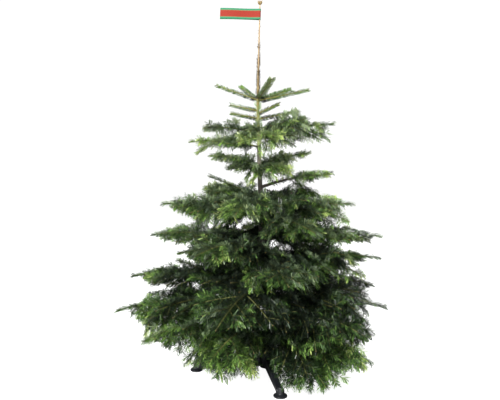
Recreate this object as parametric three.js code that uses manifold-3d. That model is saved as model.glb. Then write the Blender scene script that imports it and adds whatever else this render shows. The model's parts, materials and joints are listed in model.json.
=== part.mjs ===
// A cut fir, dressed as a Christmas tree, on a moulded plastic stand.
//
// The trunk runs whole from its flat cut to the tip of the leader. Limbs leave it
// on all sides. Each limb is a frond: a main stem, with side sprays in pairs that
// grow shorter towards its tip. Five limbs show bare wood: each is a bough and, past
// its end, a mass of foliage. Every other limb is a mass from the trunk on.
//
// Millimetres, +Z up, +X right, +Y back. The origin is on the floor, in the centre
// of the hub's flat underside.

import * as THREE from 'three';
import { mergeVertices } from 'three/addons/utils/BufferGeometryUtils.js';
import Module from 'manifold-3d';

const wasm = await Module();
wasm.setup();

// ---------------------------------------------------------------- driving sizes

const GAP = 0.3; // clear of each neighbour
const FLAT_WITHIN = 0.02;

// Height, sideways lean and radius of the trunk, from its cut to the leader's tip.
const CUT_HEIGHT = 8.3;
const TRUNK = [
  [CUT_HEIGHT, 0, 25],
  [60, -2, 23],
  [420, -16, 18],
  [821, -29, 11.5],
  [1037, -36, 9.5],
  [1286, -42, 6],
  [1520, -37, 3.6],
  [1746, -32, 2.6],
];
const TRUNK_SIDES = 14;

// Limbs: side, base height on the trunk, azimuth (0 right, 90 back, 180 left and
// 270 front), reach from the trunk's axis, and rise of the tip over the base.
// A sixth value is the share of the reach that is a bare bough.
const TWIG = { arch: 0, stem: 3, steps: 1, pairs: 0, width: 44, droop: 0 };
const SMALL_FROND = { arch: 14, stem: 4.5, steps: 2, pairs: 2, width: 72, droop: 0.3 };
const FROND = { arch: 26, stem: 6, steps: 3, pairs: 3, width: 88, droop: 0.44 };
const LOW_FROND = { ...FROND, arch: 42 };
const WHORLS = [
  ['top_twig', TWIG, [
    ['left', 1286, 185, 195, 67],
    ['back_left', 1284, 118, 200, 104],
    ['front_right', 1286, 288, 209, 55],
    ['back_right', 1284, 38, 205, 74],
    ['right', 1282, 350, 240, 43],
  ]],
  ['spur_twig', TWIG, [
    ['left', 1234, 178, 130, 31],
    ['front_right', 1222, 318, 130, 31],
    ['lower_left', 1198, 205, 138, 18],
    ['lower_right', 1194, 12, 165, 38],
  ]],
  ['upper_mass', SMALL_FROND, [
    ['left', 1062, 187, 322, 26],
    ['back_left', 1128, 142, 345, 50],
    ['right', 1112, 352, 353, 54],
    ['front', 1098, 283, 290, -10],
    ['back_right', 1128, 42, 318, 78],
  ]],
  ['middle_mass', SMALL_FROND, [
    ['left', 958, 198, 236, 60],
    ['right', 962, 355, 235, 70],
    ['front', 956, 295, 272, -5],
    ['back', 964, 100, 300, 10],
  ]],
  ['single', SMALL_FROND, [
    ['right', 868, 358, 341, 68, 0.42],
  ]],
  ['single_twig', TWIG, [
    ['left', 824, 190, 240, 97],
  ]],
  ['shoulder_mass', FROND, [
    ['left', 806, 158, 300, 58],
    ['right', 800, 25, 300, 30],
    ['front', 800, 255, 370, -40],
  ]],
  ['first_mass', FROND, [
    ['left', 735, 186, 464, 57, 0.3],
    ['right', 738, 352, 431, 53],
    ['back', 735, 75, 430, -10],
    ['front', 710, 305, 393, -30],
  ]],
  ['second_mass', FROND, [
    ['left', 610, 170, 560, 20],
    ['right', 612, 6, 581, 20, 0.3],
    ['front', 600, 235, 460, -10],
    ['back', 604, 118, 500, -10],
  ]],
  ['third_mass', FROND, [
    ['right', 500, 342, 541, 58],
    ['left', 510, 205, 410, 66],
    ['front', 515, 283, 470, -30],
    ['back', 500, 55, 560, -30],
  ]],
  ['fourth_mass', LOW_FROND, [
    ['left', 395, 178, 643, 40, 0.3],
    ['right', 390, 18, 590, -25],
    ['front', 385, 252, 560, -50],
    ['back', 388, 98, 600, -50],
  ]],
  ['fifth_mass', LOW_FROND, [
    ['left', 300, 188, 691, -5, 0.3],
    ['right', 305, 348, 560, 22],
    ['front', 290, 322, 540, -40],
    ['back', 295, 138, 620, -60],
  ]],
  ['lowest_mass', LOW_FROND, [
    ['left', 232, 212, 600, -12],
    ['right', 222, 333, 515, -112],
    ['front_left', 214, 243, 480, -40],
    ['front_right', 192, 300, 480, -110],
    ['back_right', 212, 38, 600, -50],
  ]],
];

// Fronds.
const STEM_SIDES = 4;
const STEM_TIP_SHARE = 0.55; // tip radius, as a share of the root's
const TWIG_BARE = 0.14; // share of a twig before its needles
const FIRST_PAIR = 0.3; // share of the mass that lies before its first pair
const LAST_PAIR = 0.74;
const TIP_WIDTH_SHARE = 0.66;
const TIP_SUNK = 24; // how far the spray at the tip overlaps the stem
const SIDE_ANGLE = 48; // degrees between a side spray and the main stem
const ANGLE_SPREAD = 8;
const DROOP_LEAST = -0.5; // least droop of a side spray, as a share of its kind's
const DROOP_MORE = 2.4;
const LENGTH_SPREAD = 0.2;
const SIDE_SHARE = 0.66; // side spray's length, as a share of what the stem has left
const SIDE_MORE = 44;
const SIDE_WIDTH_SHARE = 0.5; // side spray's width, as a share of its length
const SIDE_WIDTH_LEAST = 0.8; // its least width, as a share of its kind's
const STAGGER = 0.025; // half the way along the stem between the two sprays of a pair
const SPRAY_THICK = 3.2;
const SPRAY_ROOT = 1.7; // half width of a spray's root, which lies on the stem's axis
const TOOTH_LENGTH = 78;
const TOOTH_LEAST = 2;
const TOOTH_MOST = 3;
const TOOTH_START = 0.12; // where a tooth starts and ends, and the tip's own length, in steps
const TOOTH_END = 1.2;
const TOOTH_TIP = 0.6;
const SPRAY_NARROWING = 0.6; // what a spray's width loses towards its tip
const VALLEY_SHARE = 0.3; // half width between two teeth, as a share of the spray's width
const ROLL_LEAST = 30; // degrees that a spray turns about its own length, to either side
const ROLL_MORE = 30;
const CLEAR = 1.2; // least way between two masses
const SIZE_TRIES = [1, 0.8, 0.6];
const SEED = 20;
const SEED_STEP = 97;

// Boughs.
const BOUGH_SIDES = 7;
const BOUGH_STEPS = 3;
const BOUGH_ROOT = 8.5;

// Stand.
const HUB = { radius: 32, height: 130, floor: 8, wall: 5, rim: 3 };
const LEG = { turn: 10, reach: 336, width: 36, flangeTop: 96, flangeThick: 14, sole: 7 };
const KNEE = { out: 20, height: 58 }; // out from the hub, where the arm leaves the flange
const TOE = { length: 30, height: 30 };
const LEG_SIDES = ['right', 'back', 'left', 'front'];
const FOOT = { radius: 29.5, rim: 6, dome: 11, boss: 12, bossTop: 40 };
const SIDES_ROUND = 20;

// Ribbon flag on the leader.
const RIBBON = { height: 50, length: 192, thick: 1.2, middle: 1691, tilt: 2, loop: 3.4, wall: 1 };

// ---------------------------------------------------------------- materials

const paint = (color, roughness) => new THREE.MeshStandardMaterial({ color, roughness, metalness: 0 });
const BARK = paint(0x7d6f5c, 0.9);
const NEEDLES = paint(0x2f5a24, 0.65);
const YOUNG_NEEDLES = paint(0x5b8136, 0.65);
const PLASTIC = paint(0x17191c, 0.45);
const RIBBON_RED = paint(0xc43d28, 0.5);

// ---------------------------------------------------------------- solids

// A closed three.js geometry as a solid that can be joined and cut.
function solidOf(geometry) {
  const bare = geometry.clone();
  bare.deleteAttribute('normal');
  bare.deleteAttribute('uv');
  const merged = mergeVertices(bare, 1e-4);
  const mesh = new wasm.Mesh({
    numProp: 3,
    vertProperties: new Float32Array(merged.attributes.position.array),
    triVerts: new Uint32Array(merged.index.array),
  });
  return new wasm.Manifold(mesh);
}

// The geometry of a solid, without the needless points that a join leaves on flat faces.
function geometryOf(solid) {
  const mesh = solid.asOriginal().simplify(FLAT_WITHIN).getMesh();
  const geometry = new THREE.BufferGeometry();
  geometry.setAttribute('position', new THREE.BufferAttribute(mesh.vertProperties, 3));
  geometry.setIndex(new THREE.BufferAttribute(mesh.triVerts, 1));
  geometry.computeVertexNormals();
  return geometry;
}

// The largest body of a solid, without the loose scraps that a cut can leave.
function mainBody(solid) {
  const bodies = solid.decompose();
  bodies.sort((one, other) => other.volume() - one.volume());
  return bodies[0];
}

const tree = new THREE.Group();

function addPart(name, solid, material) {
  const mesh = new THREE.Mesh(geometryOf(solid), material);
  mesh.name = name;
  tree.add(mesh);
}

// A seeded row of numbers from 0 to 1 (Park and Miller's rule).
function makeRandom(seed) {
  let state = seed;
  return () => {
    state = (state * 16807) % 2147483647;
    return state / 2147483647;
  };
}

const radians = THREE.MathUtils.degToRad;

// Value at height z in a table of heights and values, on straight lines between rows.
function alongTrunk(z, column) {
  const upper = Math.max(1, TRUNK.findIndex((row) => row[0] >= z));
  const [low, high] = [TRUNK[upper - 1], TRUNK[upper]];
  const share = THREE.MathUtils.clamp((z - low[0]) / (high[0] - low[0]), 0, 1);
  return low[column] + (high[column] - low[column]) * share;
}

// The trunk with its radius grown by extra: one ring of points a row of the table.
function trunkSolid(extra) {
  const steps = TRUNK.length - 1;
  const geometry = new THREE.CylinderGeometry(1, 1, 1, TRUNK_SIDES, steps);
  const at = geometry.attributes.position;
  for (let i = 0; i < at.count; i += 1) {
    const [height, lean, radius] = TRUNK[Math.round((at.getY(i) + 0.5) * steps)];
    at.setXYZ(i, lean + at.getX(i) * (radius + extra), -at.getZ(i) * (radius + extra), height);
  }
  return solidOf(geometry);
}

// A tapering limb along a curve: a cylinder whose rings are moved along it.
function limbSolid(pointAt, radiusAt, sides, steps) {
  const geometry = new THREE.CylinderGeometry(1, 1, 1, sides, steps);
  const at = geometry.attributes.position;
  const up = new THREE.Vector3(0, 0, 1);
  for (let i = 0; i < at.count; i += 1) {
    const share = at.getY(i) + 0.5;
    const ahead = pointAt(share + 0.01).sub(pointAt(share - 0.01)).normalize();
    const across = new THREE.Vector3().crossVectors(up, ahead).normalize();
    const above = new THREE.Vector3().crossVectors(ahead, across);
    const radius = radiusAt(share);
    const place = pointAt(share)
      .addScaledVector(across, at.getX(i) * radius)
      .addScaledVector(above, -at.getZ(i) * radius);
    at.setXYZ(i, place.x, place.y, place.z);
  }
  return solidOf(geometry);
}

// Outline of a spray along +X: teeth on both sides that point towards the tip.
function sprayOutline(length, width) {
  const teeth = THREE.MathUtils.clamp(Math.round(length / TOOTH_LENGTH), TOOTH_LEAST, TOOTH_MOST);
  const step = length / (teeth + TOOTH_TIP);
  const edge = [[0, SPRAY_ROOT]];
  for (let tooth = 0; tooth < teeth; tooth += 1) {
    const widthHere = width * (1 - (SPRAY_NARROWING * tooth) / teeth);
    if (tooth > 0) edge.push([(tooth + TOOTH_START) * step, VALLEY_SHARE * widthHere]);
    edge.push([(tooth + TOOTH_END) * step, widthHere / 2]);
  }
  const shape = new THREE.Shape();
  shape.moveTo(edge[0][0], -edge[0][1]);
  edge.slice(1).forEach(([x, y]) => shape.lineTo(x, -y));
  shape.lineTo(length, 0);
  edge.reverse().forEach(([x, y]) => shape.lineTo(x, y));
  shape.closePath();
  return shape;
}

// A spray of needles, at a share of its size: a toothed blade from a point along a direction.
function spraySolid({ point, direction, length, width, roll }, share) {
  const options = { depth: SPRAY_THICK, bevelEnabled: false };
  const geometry = new THREE.ExtrudeGeometry(sprayOutline(length * share, width * share), options);
  geometry.translate(0, 0, -SPRAY_THICK / 2);
  geometry.rotateX(radians(roll));
  const across = new THREE.Vector3(0, 0, 1).cross(direction).normalize();
  const above = new THREE.Vector3().crossVectors(direction, across);
  const turn = new THREE.Matrix4().makeBasis(direction, across, above).setPosition(point);
  return solidOf(geometry.applyMatrix4(turn));
}

// ---------------------------------------------------------------- limbs

// The limb's axis at a share of its reach: an arch over the straight line to its tip.
function limbPoint(limb, share) {
  const out = limb.reach * share;
  return new THREE.Vector3(
    alongTrunk(limb.base, 1) + out * Math.cos(radians(limb.azimuth)),
    out * Math.sin(radians(limb.azimuth)),
    limb.base + limb.rise * share + limb.kind.arch * 4 * share * (1 - share),
  );
}

function limbDirection(limb, share) {
  return limbPoint(limb, share + 0.01).sub(limbPoint(limb, share - 0.01)).normalize();
}

const limbs = WHORLS.flatMap(([whorl, kind, rows]) => rows.map((row) => {
  const [side, base, azimuth, reach, rise, bare = 0] = row;
  return { name: `${whorl}_${side}`, kind, base, azimuth, reach, rise, bare };
}));

// The share of the reach that a share of the mass stands for.
const along = (limb, share) => limb.bare + (1 - limb.bare) * share;

// Where the spray at the tip starts.
const tipStart = (limb) => along(limb, limb.kind.pairs > 0 ? LAST_PAIR + 0.06 : TWIG_BARE);

// The main stem of a mass, from the trunk's axis or from 0.3 mm past its bough.
function stemSolid(limb) {
  const start = limb.bare > 0 ? limb.bare + GAP / limb.reach : 0;
  const end = tipStart(limb) + TIP_SUNK / limb.reach;
  const pointAt = (share) => limbPoint(limb, start + (end - start) * share);
  const radiusAt = (share) => limb.kind.stem * (1 + (STEM_TIP_SHARE - 1) * share);
  return limbSolid(pointAt, radiusAt, STEM_SIDES, limb.kind.steps);
}

// A spray's turn about its own length, so that it shows from the side too.
function turnedBy(random) {
  const side = random() < 0.5 ? -1 : 1;
  return side * (ROLL_LEAST + ROLL_MORE * random());
}

// The sprays of a mass: one at the tip, crossed by a second on a twig, and pairs.
function spraysOf(limb, random) {
  const sprays = [];
  const { kind, reach } = limb;
  sprays.push({
    point: limbPoint(limb, tipStart(limb)),
    direction: limbPoint(limb, 1).sub(limbPoint(limb, tipStart(limb))).normalize(),
    length: reach * (1 - tipStart(limb)),
    width: kind.width * (kind.pairs > 0 ? TIP_WIDTH_SHARE : 1),
    roll: turnedBy(random),
  });
  for (let pair = 0; pair < kind.pairs; pair += 1) {
    for (const side of [-1, 1]) {
      const place = FIRST_PAIR + ((LAST_PAIR - FIRST_PAIR) * pair) / (kind.pairs - 1);
      const share = along(limb, place + side * STAGGER);
      const ahead = limbDirection(limb, share);
      const angle = radians(SIDE_ANGLE + ANGLE_SPREAD * (random() - 0.5));
      const across = new THREE.Vector3(0, 0, 1).cross(ahead).normalize();
      const direction = ahead
        .multiplyScalar(Math.cos(angle))
        .addScaledVector(across, side * Math.sin(angle));
      direction.z -= kind.droop * (DROOP_LEAST + DROOP_MORE * random());
      const fullLength = SIDE_SHARE * (1 - share) * reach + SIDE_MORE;
      const length = fullLength * (1 + LENGTH_SPREAD * (random() - 0.5));
      sprays.push({
        point: limbPoint(limb, share),
        direction: direction.normalize(),
        length,
        width: Math.max(kind.width * SIDE_WIDTH_LEAST, length * SIDE_WIDTH_SHARE),
        roll: turnedBy(random),
      });
    }
  }
  return sprays;
}

// ---------------------------------------------------------------- building

const trunk = trunkSolid(0);
const trunkClearance = trunkSolid(GAP);
addPart('trunk', trunk, BARK);

const boughs = limbs.filter((limb) => limb.bare > 0).map((limb) => {
  const radiusAt = (share) => BOUGH_ROOT + (limb.kind.stem - BOUGH_ROOT) * share;
  const pointAt = (share) => limbPoint(limb, limb.bare * share);
  const solid = limbSolid(pointAt, radiusAt, BOUGH_SIDES, BOUGH_STEPS).subtract(trunkClearance);
  const bough = mainBody(solid);
  addPart(limb.name.replace('_mass', '').concat('_bough'), bough, BARK);
  return bough;
});

// The hub: a cup that the trunk's cut end stands in.
function hubSolid() {
  const { radius, height, floor, wall, rim } = HUB;
  const profile = [
    [0, 0], [radius - 2, 0], [radius, 2], [radius, height - 14], [radius + rim, height - 12],
    [radius + rim, height], [radius + rim - wall, height], [radius - wall, height - 14],
    [radius - wall, floor], [0, floor],
  ].map(([r, z]) => new THREE.Vector2(r, z));
  const geometry = new THREE.LatheGeometry(profile, SIDES_ROUND);
  return solidOf(geometry.rotateX(Math.PI / 2));
}

// A leg: a flange against the hub, an arm that slopes down to its toe, and a disc foot.
function legSolid(azimuth) {
  const { reach, width, flangeTop, flangeThick, sole } = LEG;
  const { radius } = HUB;
  const corners = [
    [radius / 2, sole], [radius / 2, flangeTop], [radius + flangeThick, flangeTop],
    [radius + KNEE.out, KNEE.height], [reach - TOE.length, TOE.height], [reach, TOE.height], [reach, sole],
  ].map(([x, z]) => new THREE.Vector2(x, z));
  const shape = new THREE.Shape(corners);
  const arm = new THREE.ExtrudeGeometry(shape, { depth: width, bevelEnabled: false });
  arm.translate(0, 0, -width / 2).rotateX(Math.PI / 2);
  const disc = [
    [0, 0], [FOOT.radius, 0], [FOOT.radius, FOOT.rim], [FOOT.boss, FOOT.dome],
    [FOOT.boss, FOOT.bossTop], [0, FOOT.bossTop],
  ].map(([r, z]) => new THREE.Vector2(r, z));
  const foot = new THREE.LatheGeometry(disc, SIDES_ROUND).rotateX(Math.PI / 2).translate(reach, 0, 0);
  const turn = new THREE.Matrix4().makeRotationZ(radians(azimuth));
  const hubClearance = new THREE.CylinderGeometry(
    radius + GAP, radius + GAP, 4 * HUB.height, SIDES_ROUND,
  ).rotateX(Math.PI / 2);
  return solidOf(arm.applyMatrix4(turn))
    .add(solidOf(foot.applyMatrix4(turn)))
    .subtract(solidOf(hubClearance));
}

const hub = hubSolid();
addPart('stand_hub', hub, PLASTIC);
const legs = LEG_SIDES.map((side, i) => {
  const leg = legSolid(LEG.turn + (360 / LEG_SIDES.length) * i);
  addPart(`stand_leg_${side}`, leg, PLASTIC);
  return leg;
});

// The ribbon: a loop round the leader, with both of its ends stuck together as a flag.
function ribbonSolid() {
  const { height, length, thick, middle, tilt, loop, wall } = RIBBON;
  const lean = alongTrunk(middle, 1);
  const place = new THREE.Matrix4().makeRotationY(radians(tilt)).setPosition(lean, 0, middle);
  const round = (radius, tall) => {
    const upright = new THREE.CylinderGeometry(radius, radius, tall, SIDES_ROUND / 2).rotateX(Math.PI / 2);
    return solidOf(upright.applyMatrix4(place));
  };
  const flag = new THREE.BoxGeometry(length, thick, height).translate(-length / 2, 0, 0);
  return round(loop + wall, height)
    .add(solidOf(flag.applyMatrix4(place)))
    .subtract(round(loop, height * 2));
}

addPart('ribbon_label', ribbonSolid(), RIBBON_RED);

// Masses: every stem first, then the sprays in turn, each where it keeps clear of the rest.
const fixed = [trunk, ...boughs, hub, ...legs];
const masses = limbs.map((limb, i) => {
  const random = makeRandom(SEED + SEED_STEP * (i + 1));
  return { limb, waiting: spraysOf(limb, random), solids: [stemSolid(limb)] };
});

const boxesNear = (one, other) => one.min.every((low, k) => low - CLEAR < other.max[k])
  && one.max.every((high, k) => high + CLEAR > other.min[k]);

function isClear(spray, own) {
  const box = spray.boundingBox();
  const isNear = (solid) => boxesNear(box, solid.boundingBox()) && spray.minGap(solid, CLEAR) < CLEAR;
  return !fixed.some(isNear) && !masses.some((mass) => mass !== own && mass.solids.some(isNear));
}

// The spray at full size, or smaller where it would come near another limb, or none.
function fittedSpray(spray, own) {
  for (const share of SIZE_TRIES) {
    const solid = spraySolid(spray, share);
    if (isClear(solid, own)) return solid;
  }
  return null;
}

const mostSprays = Math.max(...masses.map((mass) => mass.waiting.length));
for (let turn = 0; turn < mostSprays; turn += 1) {
  for (const mass of masses.filter(({ waiting }) => turn < waiting.length)) {
    const solid = fittedSpray(mass.waiting[turn], mass);
    if (solid) mass.solids.push(solid);
  }
}

for (const { limb, solids } of masses) {
  const joined = wasm.Manifold.union(solids).subtract(trunkClearance);
  addPart(limb.name, mainBody(joined), limb.kind === TWIG ? YOUNG_NEEDLES : NEEDLES);
}

export default tree;
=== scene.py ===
# %% [markdown]
# # A cut fir on a plastic stand
# A Christmas tree is one whole plant: a trunk with whorls of flat, fan-shaped fronds, and on every
# shoot two combs of soft needles. This lesson grows all of it from one short table of limbs. Each
# limb's curve, its side shoots and their own side shoots come from the same rule, and the needles
# are laid along the shoots as whole numpy arrays. Then come the ribbon, the stand and the light.

# %% Frame and units
import json
import math

import bpy
import numpy as np
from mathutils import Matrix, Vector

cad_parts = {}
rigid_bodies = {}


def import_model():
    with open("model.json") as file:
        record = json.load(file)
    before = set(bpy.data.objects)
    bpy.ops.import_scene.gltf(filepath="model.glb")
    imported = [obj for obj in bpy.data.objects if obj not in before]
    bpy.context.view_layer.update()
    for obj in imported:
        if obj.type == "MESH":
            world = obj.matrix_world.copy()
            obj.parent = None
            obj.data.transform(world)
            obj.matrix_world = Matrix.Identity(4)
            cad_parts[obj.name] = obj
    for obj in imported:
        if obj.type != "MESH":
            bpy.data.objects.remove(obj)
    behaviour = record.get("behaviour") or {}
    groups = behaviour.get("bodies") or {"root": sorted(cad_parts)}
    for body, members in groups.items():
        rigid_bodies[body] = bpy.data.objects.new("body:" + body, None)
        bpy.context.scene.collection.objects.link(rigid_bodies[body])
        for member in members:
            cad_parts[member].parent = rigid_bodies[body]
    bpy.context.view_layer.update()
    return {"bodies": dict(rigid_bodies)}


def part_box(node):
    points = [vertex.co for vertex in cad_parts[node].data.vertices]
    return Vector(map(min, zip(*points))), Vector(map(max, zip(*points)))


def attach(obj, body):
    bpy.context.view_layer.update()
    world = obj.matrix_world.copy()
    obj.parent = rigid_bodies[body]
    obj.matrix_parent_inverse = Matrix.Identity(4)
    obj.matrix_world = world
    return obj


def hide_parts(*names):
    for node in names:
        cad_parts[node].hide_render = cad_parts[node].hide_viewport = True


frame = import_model()
BODY = next(iter(frame["bodies"]))
MM = 0.001

# %% [markdown]
# ## The camera
# The eye is at the height of the tree's middle, 2.3 m away, and looks very slightly down and to
# the left. A lens of 34.5 mm on the usual 36 mm sensor takes in the whole tree with its stand.

# %% Camera
EYE = (0.0019, -2.3029, 0.8723)
LENS = 34.48
PITCH, YAW = 1.6, 2.02

camera_data = bpy.data.cameras.new("camera")
camera_data.lens = LENS
camera_data.sensor_width = 36.0
camera = bpy.data.objects.new("camera", camera_data)
camera.location = EYE
camera.rotation_euler = (math.radians(90 - PITCH), 0, math.radians(YAW))
bpy.context.scene.collection.objects.link(camera)
bpy.context.scene.camera = camera
print("the camera stands at", EYE, "m with a lens of", LENS, "mm")

# %% [markdown]
# ## The table of limbs
# A young fir makes one whorl of limbs a year, with a few weaker ones between. A table holds each
# limb's height on the trunk, its direction, its reach and how far its tip rises. The direction is in
# degrees: 0 is right, 90 is away from the viewer, 180 is left and 270 is towards the viewer. A last
# number, where there is one, is the share of the reach that is a bare bough.
#
# A kind of limb has its arch, its stem's radius, its pairs of side shoots and the finer ones between
# them, how much those droop, and the size of its needles as a share of the full size.

# %% Trunk and limbs, in millimetres and degrees
TRUNK = np.array([  # height, lean to the right, radius
    (8.3, 0, 25), (60, -2, 23), (420, -16, 18), (821, -29, 11.5),
    (1037, -36, 9.5), (1286, -42, 6), (1520, -37, 3.6), (1746, -32, 2.6),
])
TWIG = dict(arch=0, stem=3, pairs=0, fine=0, droop=0, needle=0.88)
SMALL_FROND = dict(arch=14, stem=4.5, pairs=2, fine=1, droop=0.3, needle=0.9)
FROND = dict(arch=26, stem=6, pairs=3, fine=2, droop=0.44, needle=1.0)
LOW_FROND = dict(FROND, arch=42)
WHORLS = [
    ("top_twig", TWIG, [
        ("left", 1286, 185, 195, 67),
        ("back_left", 1284, 118, 200, 104),
        ("front_right", 1286, 288, 209, 55),
        ("back_right", 1284, 38, 205, 74),
        ("right", 1282, 350, 240, 43),
    ]),
    ("spur_twig", TWIG, [
        ("left", 1234, 178, 130, 31),
        ("front_right", 1222, 318, 130, 31),
        ("lower_left", 1198, 205, 138, 18),
        ("lower_right", 1194, 12, 165, 38),
    ]),
    ("upper_mass", SMALL_FROND, [
        ("left", 1062, 187, 322, 26),
        ("back_left", 1128, 142, 345, 50),
        ("right", 1112, 352, 353, 54),
        ("front", 1098, 283, 290, -10),
        ("back_right", 1128, 42, 318, 78),
    ]),
    ("middle_mass", SMALL_FROND, [
        ("left", 958, 198, 236, 60),
        ("right", 962, 355, 235, 70),
        ("front", 956, 295, 272, -5),
        ("back", 964, 100, 300, 10),
    ]),
    ("single", SMALL_FROND, [
        ("right", 868, 358, 341, 68, 0.42),
    ]),
    ("single_twig", TWIG, [
        ("left", 824, 190, 240, 97),
    ]),
    ("shoulder_mass", FROND, [
        ("left", 806, 158, 300, 58),
        ("right", 800, 25, 300, 30),
        ("front", 800, 255, 370, -40),
    ]),
    ("first_mass", FROND, [
        ("left", 735, 186, 464, 57, 0.3),
        ("right", 738, 352, 431, 53),
        ("back", 735, 75, 430, -10),
        ("front", 710, 305, 393, -30),
    ]),
    ("second_mass", FROND, [
        ("left", 610, 170, 560, 20),
        ("right", 612, 6, 581, 20, 0.3),
        ("front", 600, 235, 460, -10),
        ("back", 604, 118, 500, -10),
    ]),
    ("third_mass", FROND, [
        ("right", 500, 342, 541, 58),
        ("left", 510, 205, 410, 66),
        ("front", 515, 283, 470, -30),
        ("back", 500, 55, 560, -30),
    ]),
    ("fourth_mass", LOW_FROND, [
        ("left", 395, 178, 643, 40, 0.3),
        ("right", 390, 18, 590, -25),
        ("front", 385, 252, 560, -50),
        ("back", 388, 98, 600, -50),
    ]),
    ("fifth_mass", LOW_FROND, [
        ("left", 300, 188, 691, -5, 0.3),
        ("right", 305, 348, 560, 22),
        ("front", 290, 322, 540, -40),
        ("back", 295, 138, 620, -60),
    ]),
    ("lowest_mass", LOW_FROND, [
        ("left", 232, 212, 600, -12),
        ("right", 222, 333, 515, -112),
        ("front_left", 214, 243, 480, -40),
        ("front_right", 192, 300, 480, -110),
        ("back_right", 212, 38, 600, -50),
    ]),
]

limbs = []
for whorl, kind, rows in WHORLS:
    for side, base, azimuth, reach, rise, *bare in rows:
        bare_share = bare[0] if bare else 0.0
        limbs.append(dict(name=f"{whorl}_{side}", kind=kind, base=base, azimuth=azimuth,
                          reach=reach, rise=rise, bare=bare_share))
print(len(limbs), "limbs")

# %% [markdown]
# ## From arrays to a mesh
# Every piece here is a list of points and a list of triangles, both worked out by numpy. One helper
# puts the arrays into Blender with foreach_set, which takes a million numbers as easily as ten.
# Trunk, boughs, shoots, buds and stand are all closed tubes: rings of points with a fan of triangles
# over each end. Two more helpers make the rings and close as many tubes as are given.

# %% Mesh helpers
def mesh_piece(name, points, faces, material, replaced=(), smooth=True):
    """A piece that rides on the tree: (n, 3) points in metres and (m, 3) corner numbers."""
    faces = np.ascontiguousarray(faces, dtype=np.int32)
    mesh = bpy.data.meshes.new(name)
    mesh.vertices.add(len(points))
    mesh.vertices.foreach_set("co", np.asarray(points, dtype=np.float32).ravel())
    mesh.loops.add(faces.size)
    mesh.loops.foreach_set("vertex_index", faces.ravel())
    mesh.polygons.add(len(faces))
    mesh.polygons.foreach_set("loop_start", np.arange(len(faces), dtype=np.int32) * 3)
    mesh.update(calc_edges=True)
    mesh.polygons.foreach_set("use_smooth", np.full(len(faces), smooth))
    mesh.materials.append(material)
    piece = bpy.data.objects.new(name, mesh)
    bpy.context.scene.collection.objects.link(piece)
    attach(piece, BODY)
    if replaced:
        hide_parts(*replaced)
    print(f"{name}: {len(faces)} triangles")
    return piece


def tube_faces(rings, sides):
    """Triangles of a closed tube. Its points are the rings in order, then both end centres."""
    ring, corner = np.meshgrid(np.arange(rings - 1), np.arange(sides), indexing="ij")
    a = (ring * sides + corner).ravel()
    b = (ring * sides + (corner + 1) % sides).ravel()
    wall = np.concatenate([np.stack([a, b, b + sides], 1), np.stack([a, b + sides, a + sides], 1)])
    k = np.arange(sides)
    after = (k + 1) % sides
    first, last = rings * sides, (rings - 1) * sides
    start_fan = np.stack([np.full(sides, first), after, k], 1)
    end_fan = np.stack([np.full(sides, first + 1), last + k, last + after], 1)
    return np.concatenate([wall, start_fan, end_fan])


def closed_tubes(surface, ends):
    """A mesh of n closed tubes: (n, rings, sides, 3) points and (n, 2, 3) end centres, in mm."""
    count, rings, sides, _ = surface.shape
    closed = np.concatenate([surface.reshape(count, -1, 3), ends], 1)
    faces = tube_faces(rings, sides)[None] + (np.arange(count) * closed.shape[1])[:, None, None]
    return closed.reshape(-1, 3) * MM, faces.reshape(-1, 3)


def circles(across, above, sides):
    """Circles of radius one, in the planes of across and above: across cos + above sin."""
    angle = np.linspace(0, 2 * np.pi, sides, endpoint=False)
    across, above = across[..., None, :], above[..., None, :]
    return across * np.cos(angle)[:, None] + above * np.sin(angle)[:, None]


def unit(vectors):
    """Each vector of the last axis, at length one."""
    return vectors / np.linalg.norm(vectors, axis=-1, keepdims=True)


def srgb(red, green, blue):
    """A colour given as 0 to 255 on a screen, as the linear numbers that Blender's sockets take."""
    share = np.array([red, green, blue]) / 255
    linear = np.where(share <= 0.04045, share / 12.92, ((share + 0.055) / 1.055) ** 2.4)
    return (*linear.tolist(), 1.0)


# %% [markdown]
# ## Materials for wood
# Young fir bark is smooth and grey, with fine cross marks and small resin blisters. The youngest
# wood is tan with a touch of green. One node group mixes two colours by stretched noise and gives a
# height for the bump. The bark takes both colours from ramps that follow the tree's height, and the
# twigs, buds and plastic use the same group with other numbers.


# %% Node helpers
def set_values(node, values):
    """Values for a node's inputs, by their names or numbers."""
    for socket, value in values.items():
        node.inputs[socket].default_value = value


def add_node(tree, kind, values=None, **settings):
    """A shader node of a kind, with its settings and then its inputs' values."""
    node = tree.nodes.new("ShaderNode" + kind)
    for name, value in settings.items():
        setattr(node, name, value)
    set_values(node, values or {})
    return node


def wire(tree, *pairs):
    """Links in a tree, each from an output to an input."""
    for output, socket in pairs:
        tree.links.new(output, socket)


def new_material(name, values):
    """A material whose shader has some values set: (material, tree, shader)."""
    material = bpy.data.materials.new(name)
    material.use_nodes = True
    shader = material.node_tree.nodes["Principled BSDF"]
    set_values(shader, values)
    return material, material.node_tree, shader


def add_bump(tree, shader, height, strength, distance):
    """A bump on the shader's normal from a height output."""
    bump = add_node(tree, "Bump", {"Strength": strength, "Distance": distance})
    wire(tree, (height, bump.inputs["Height"]), (bump.outputs["Normal"], shader.inputs["Normal"]))


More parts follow.
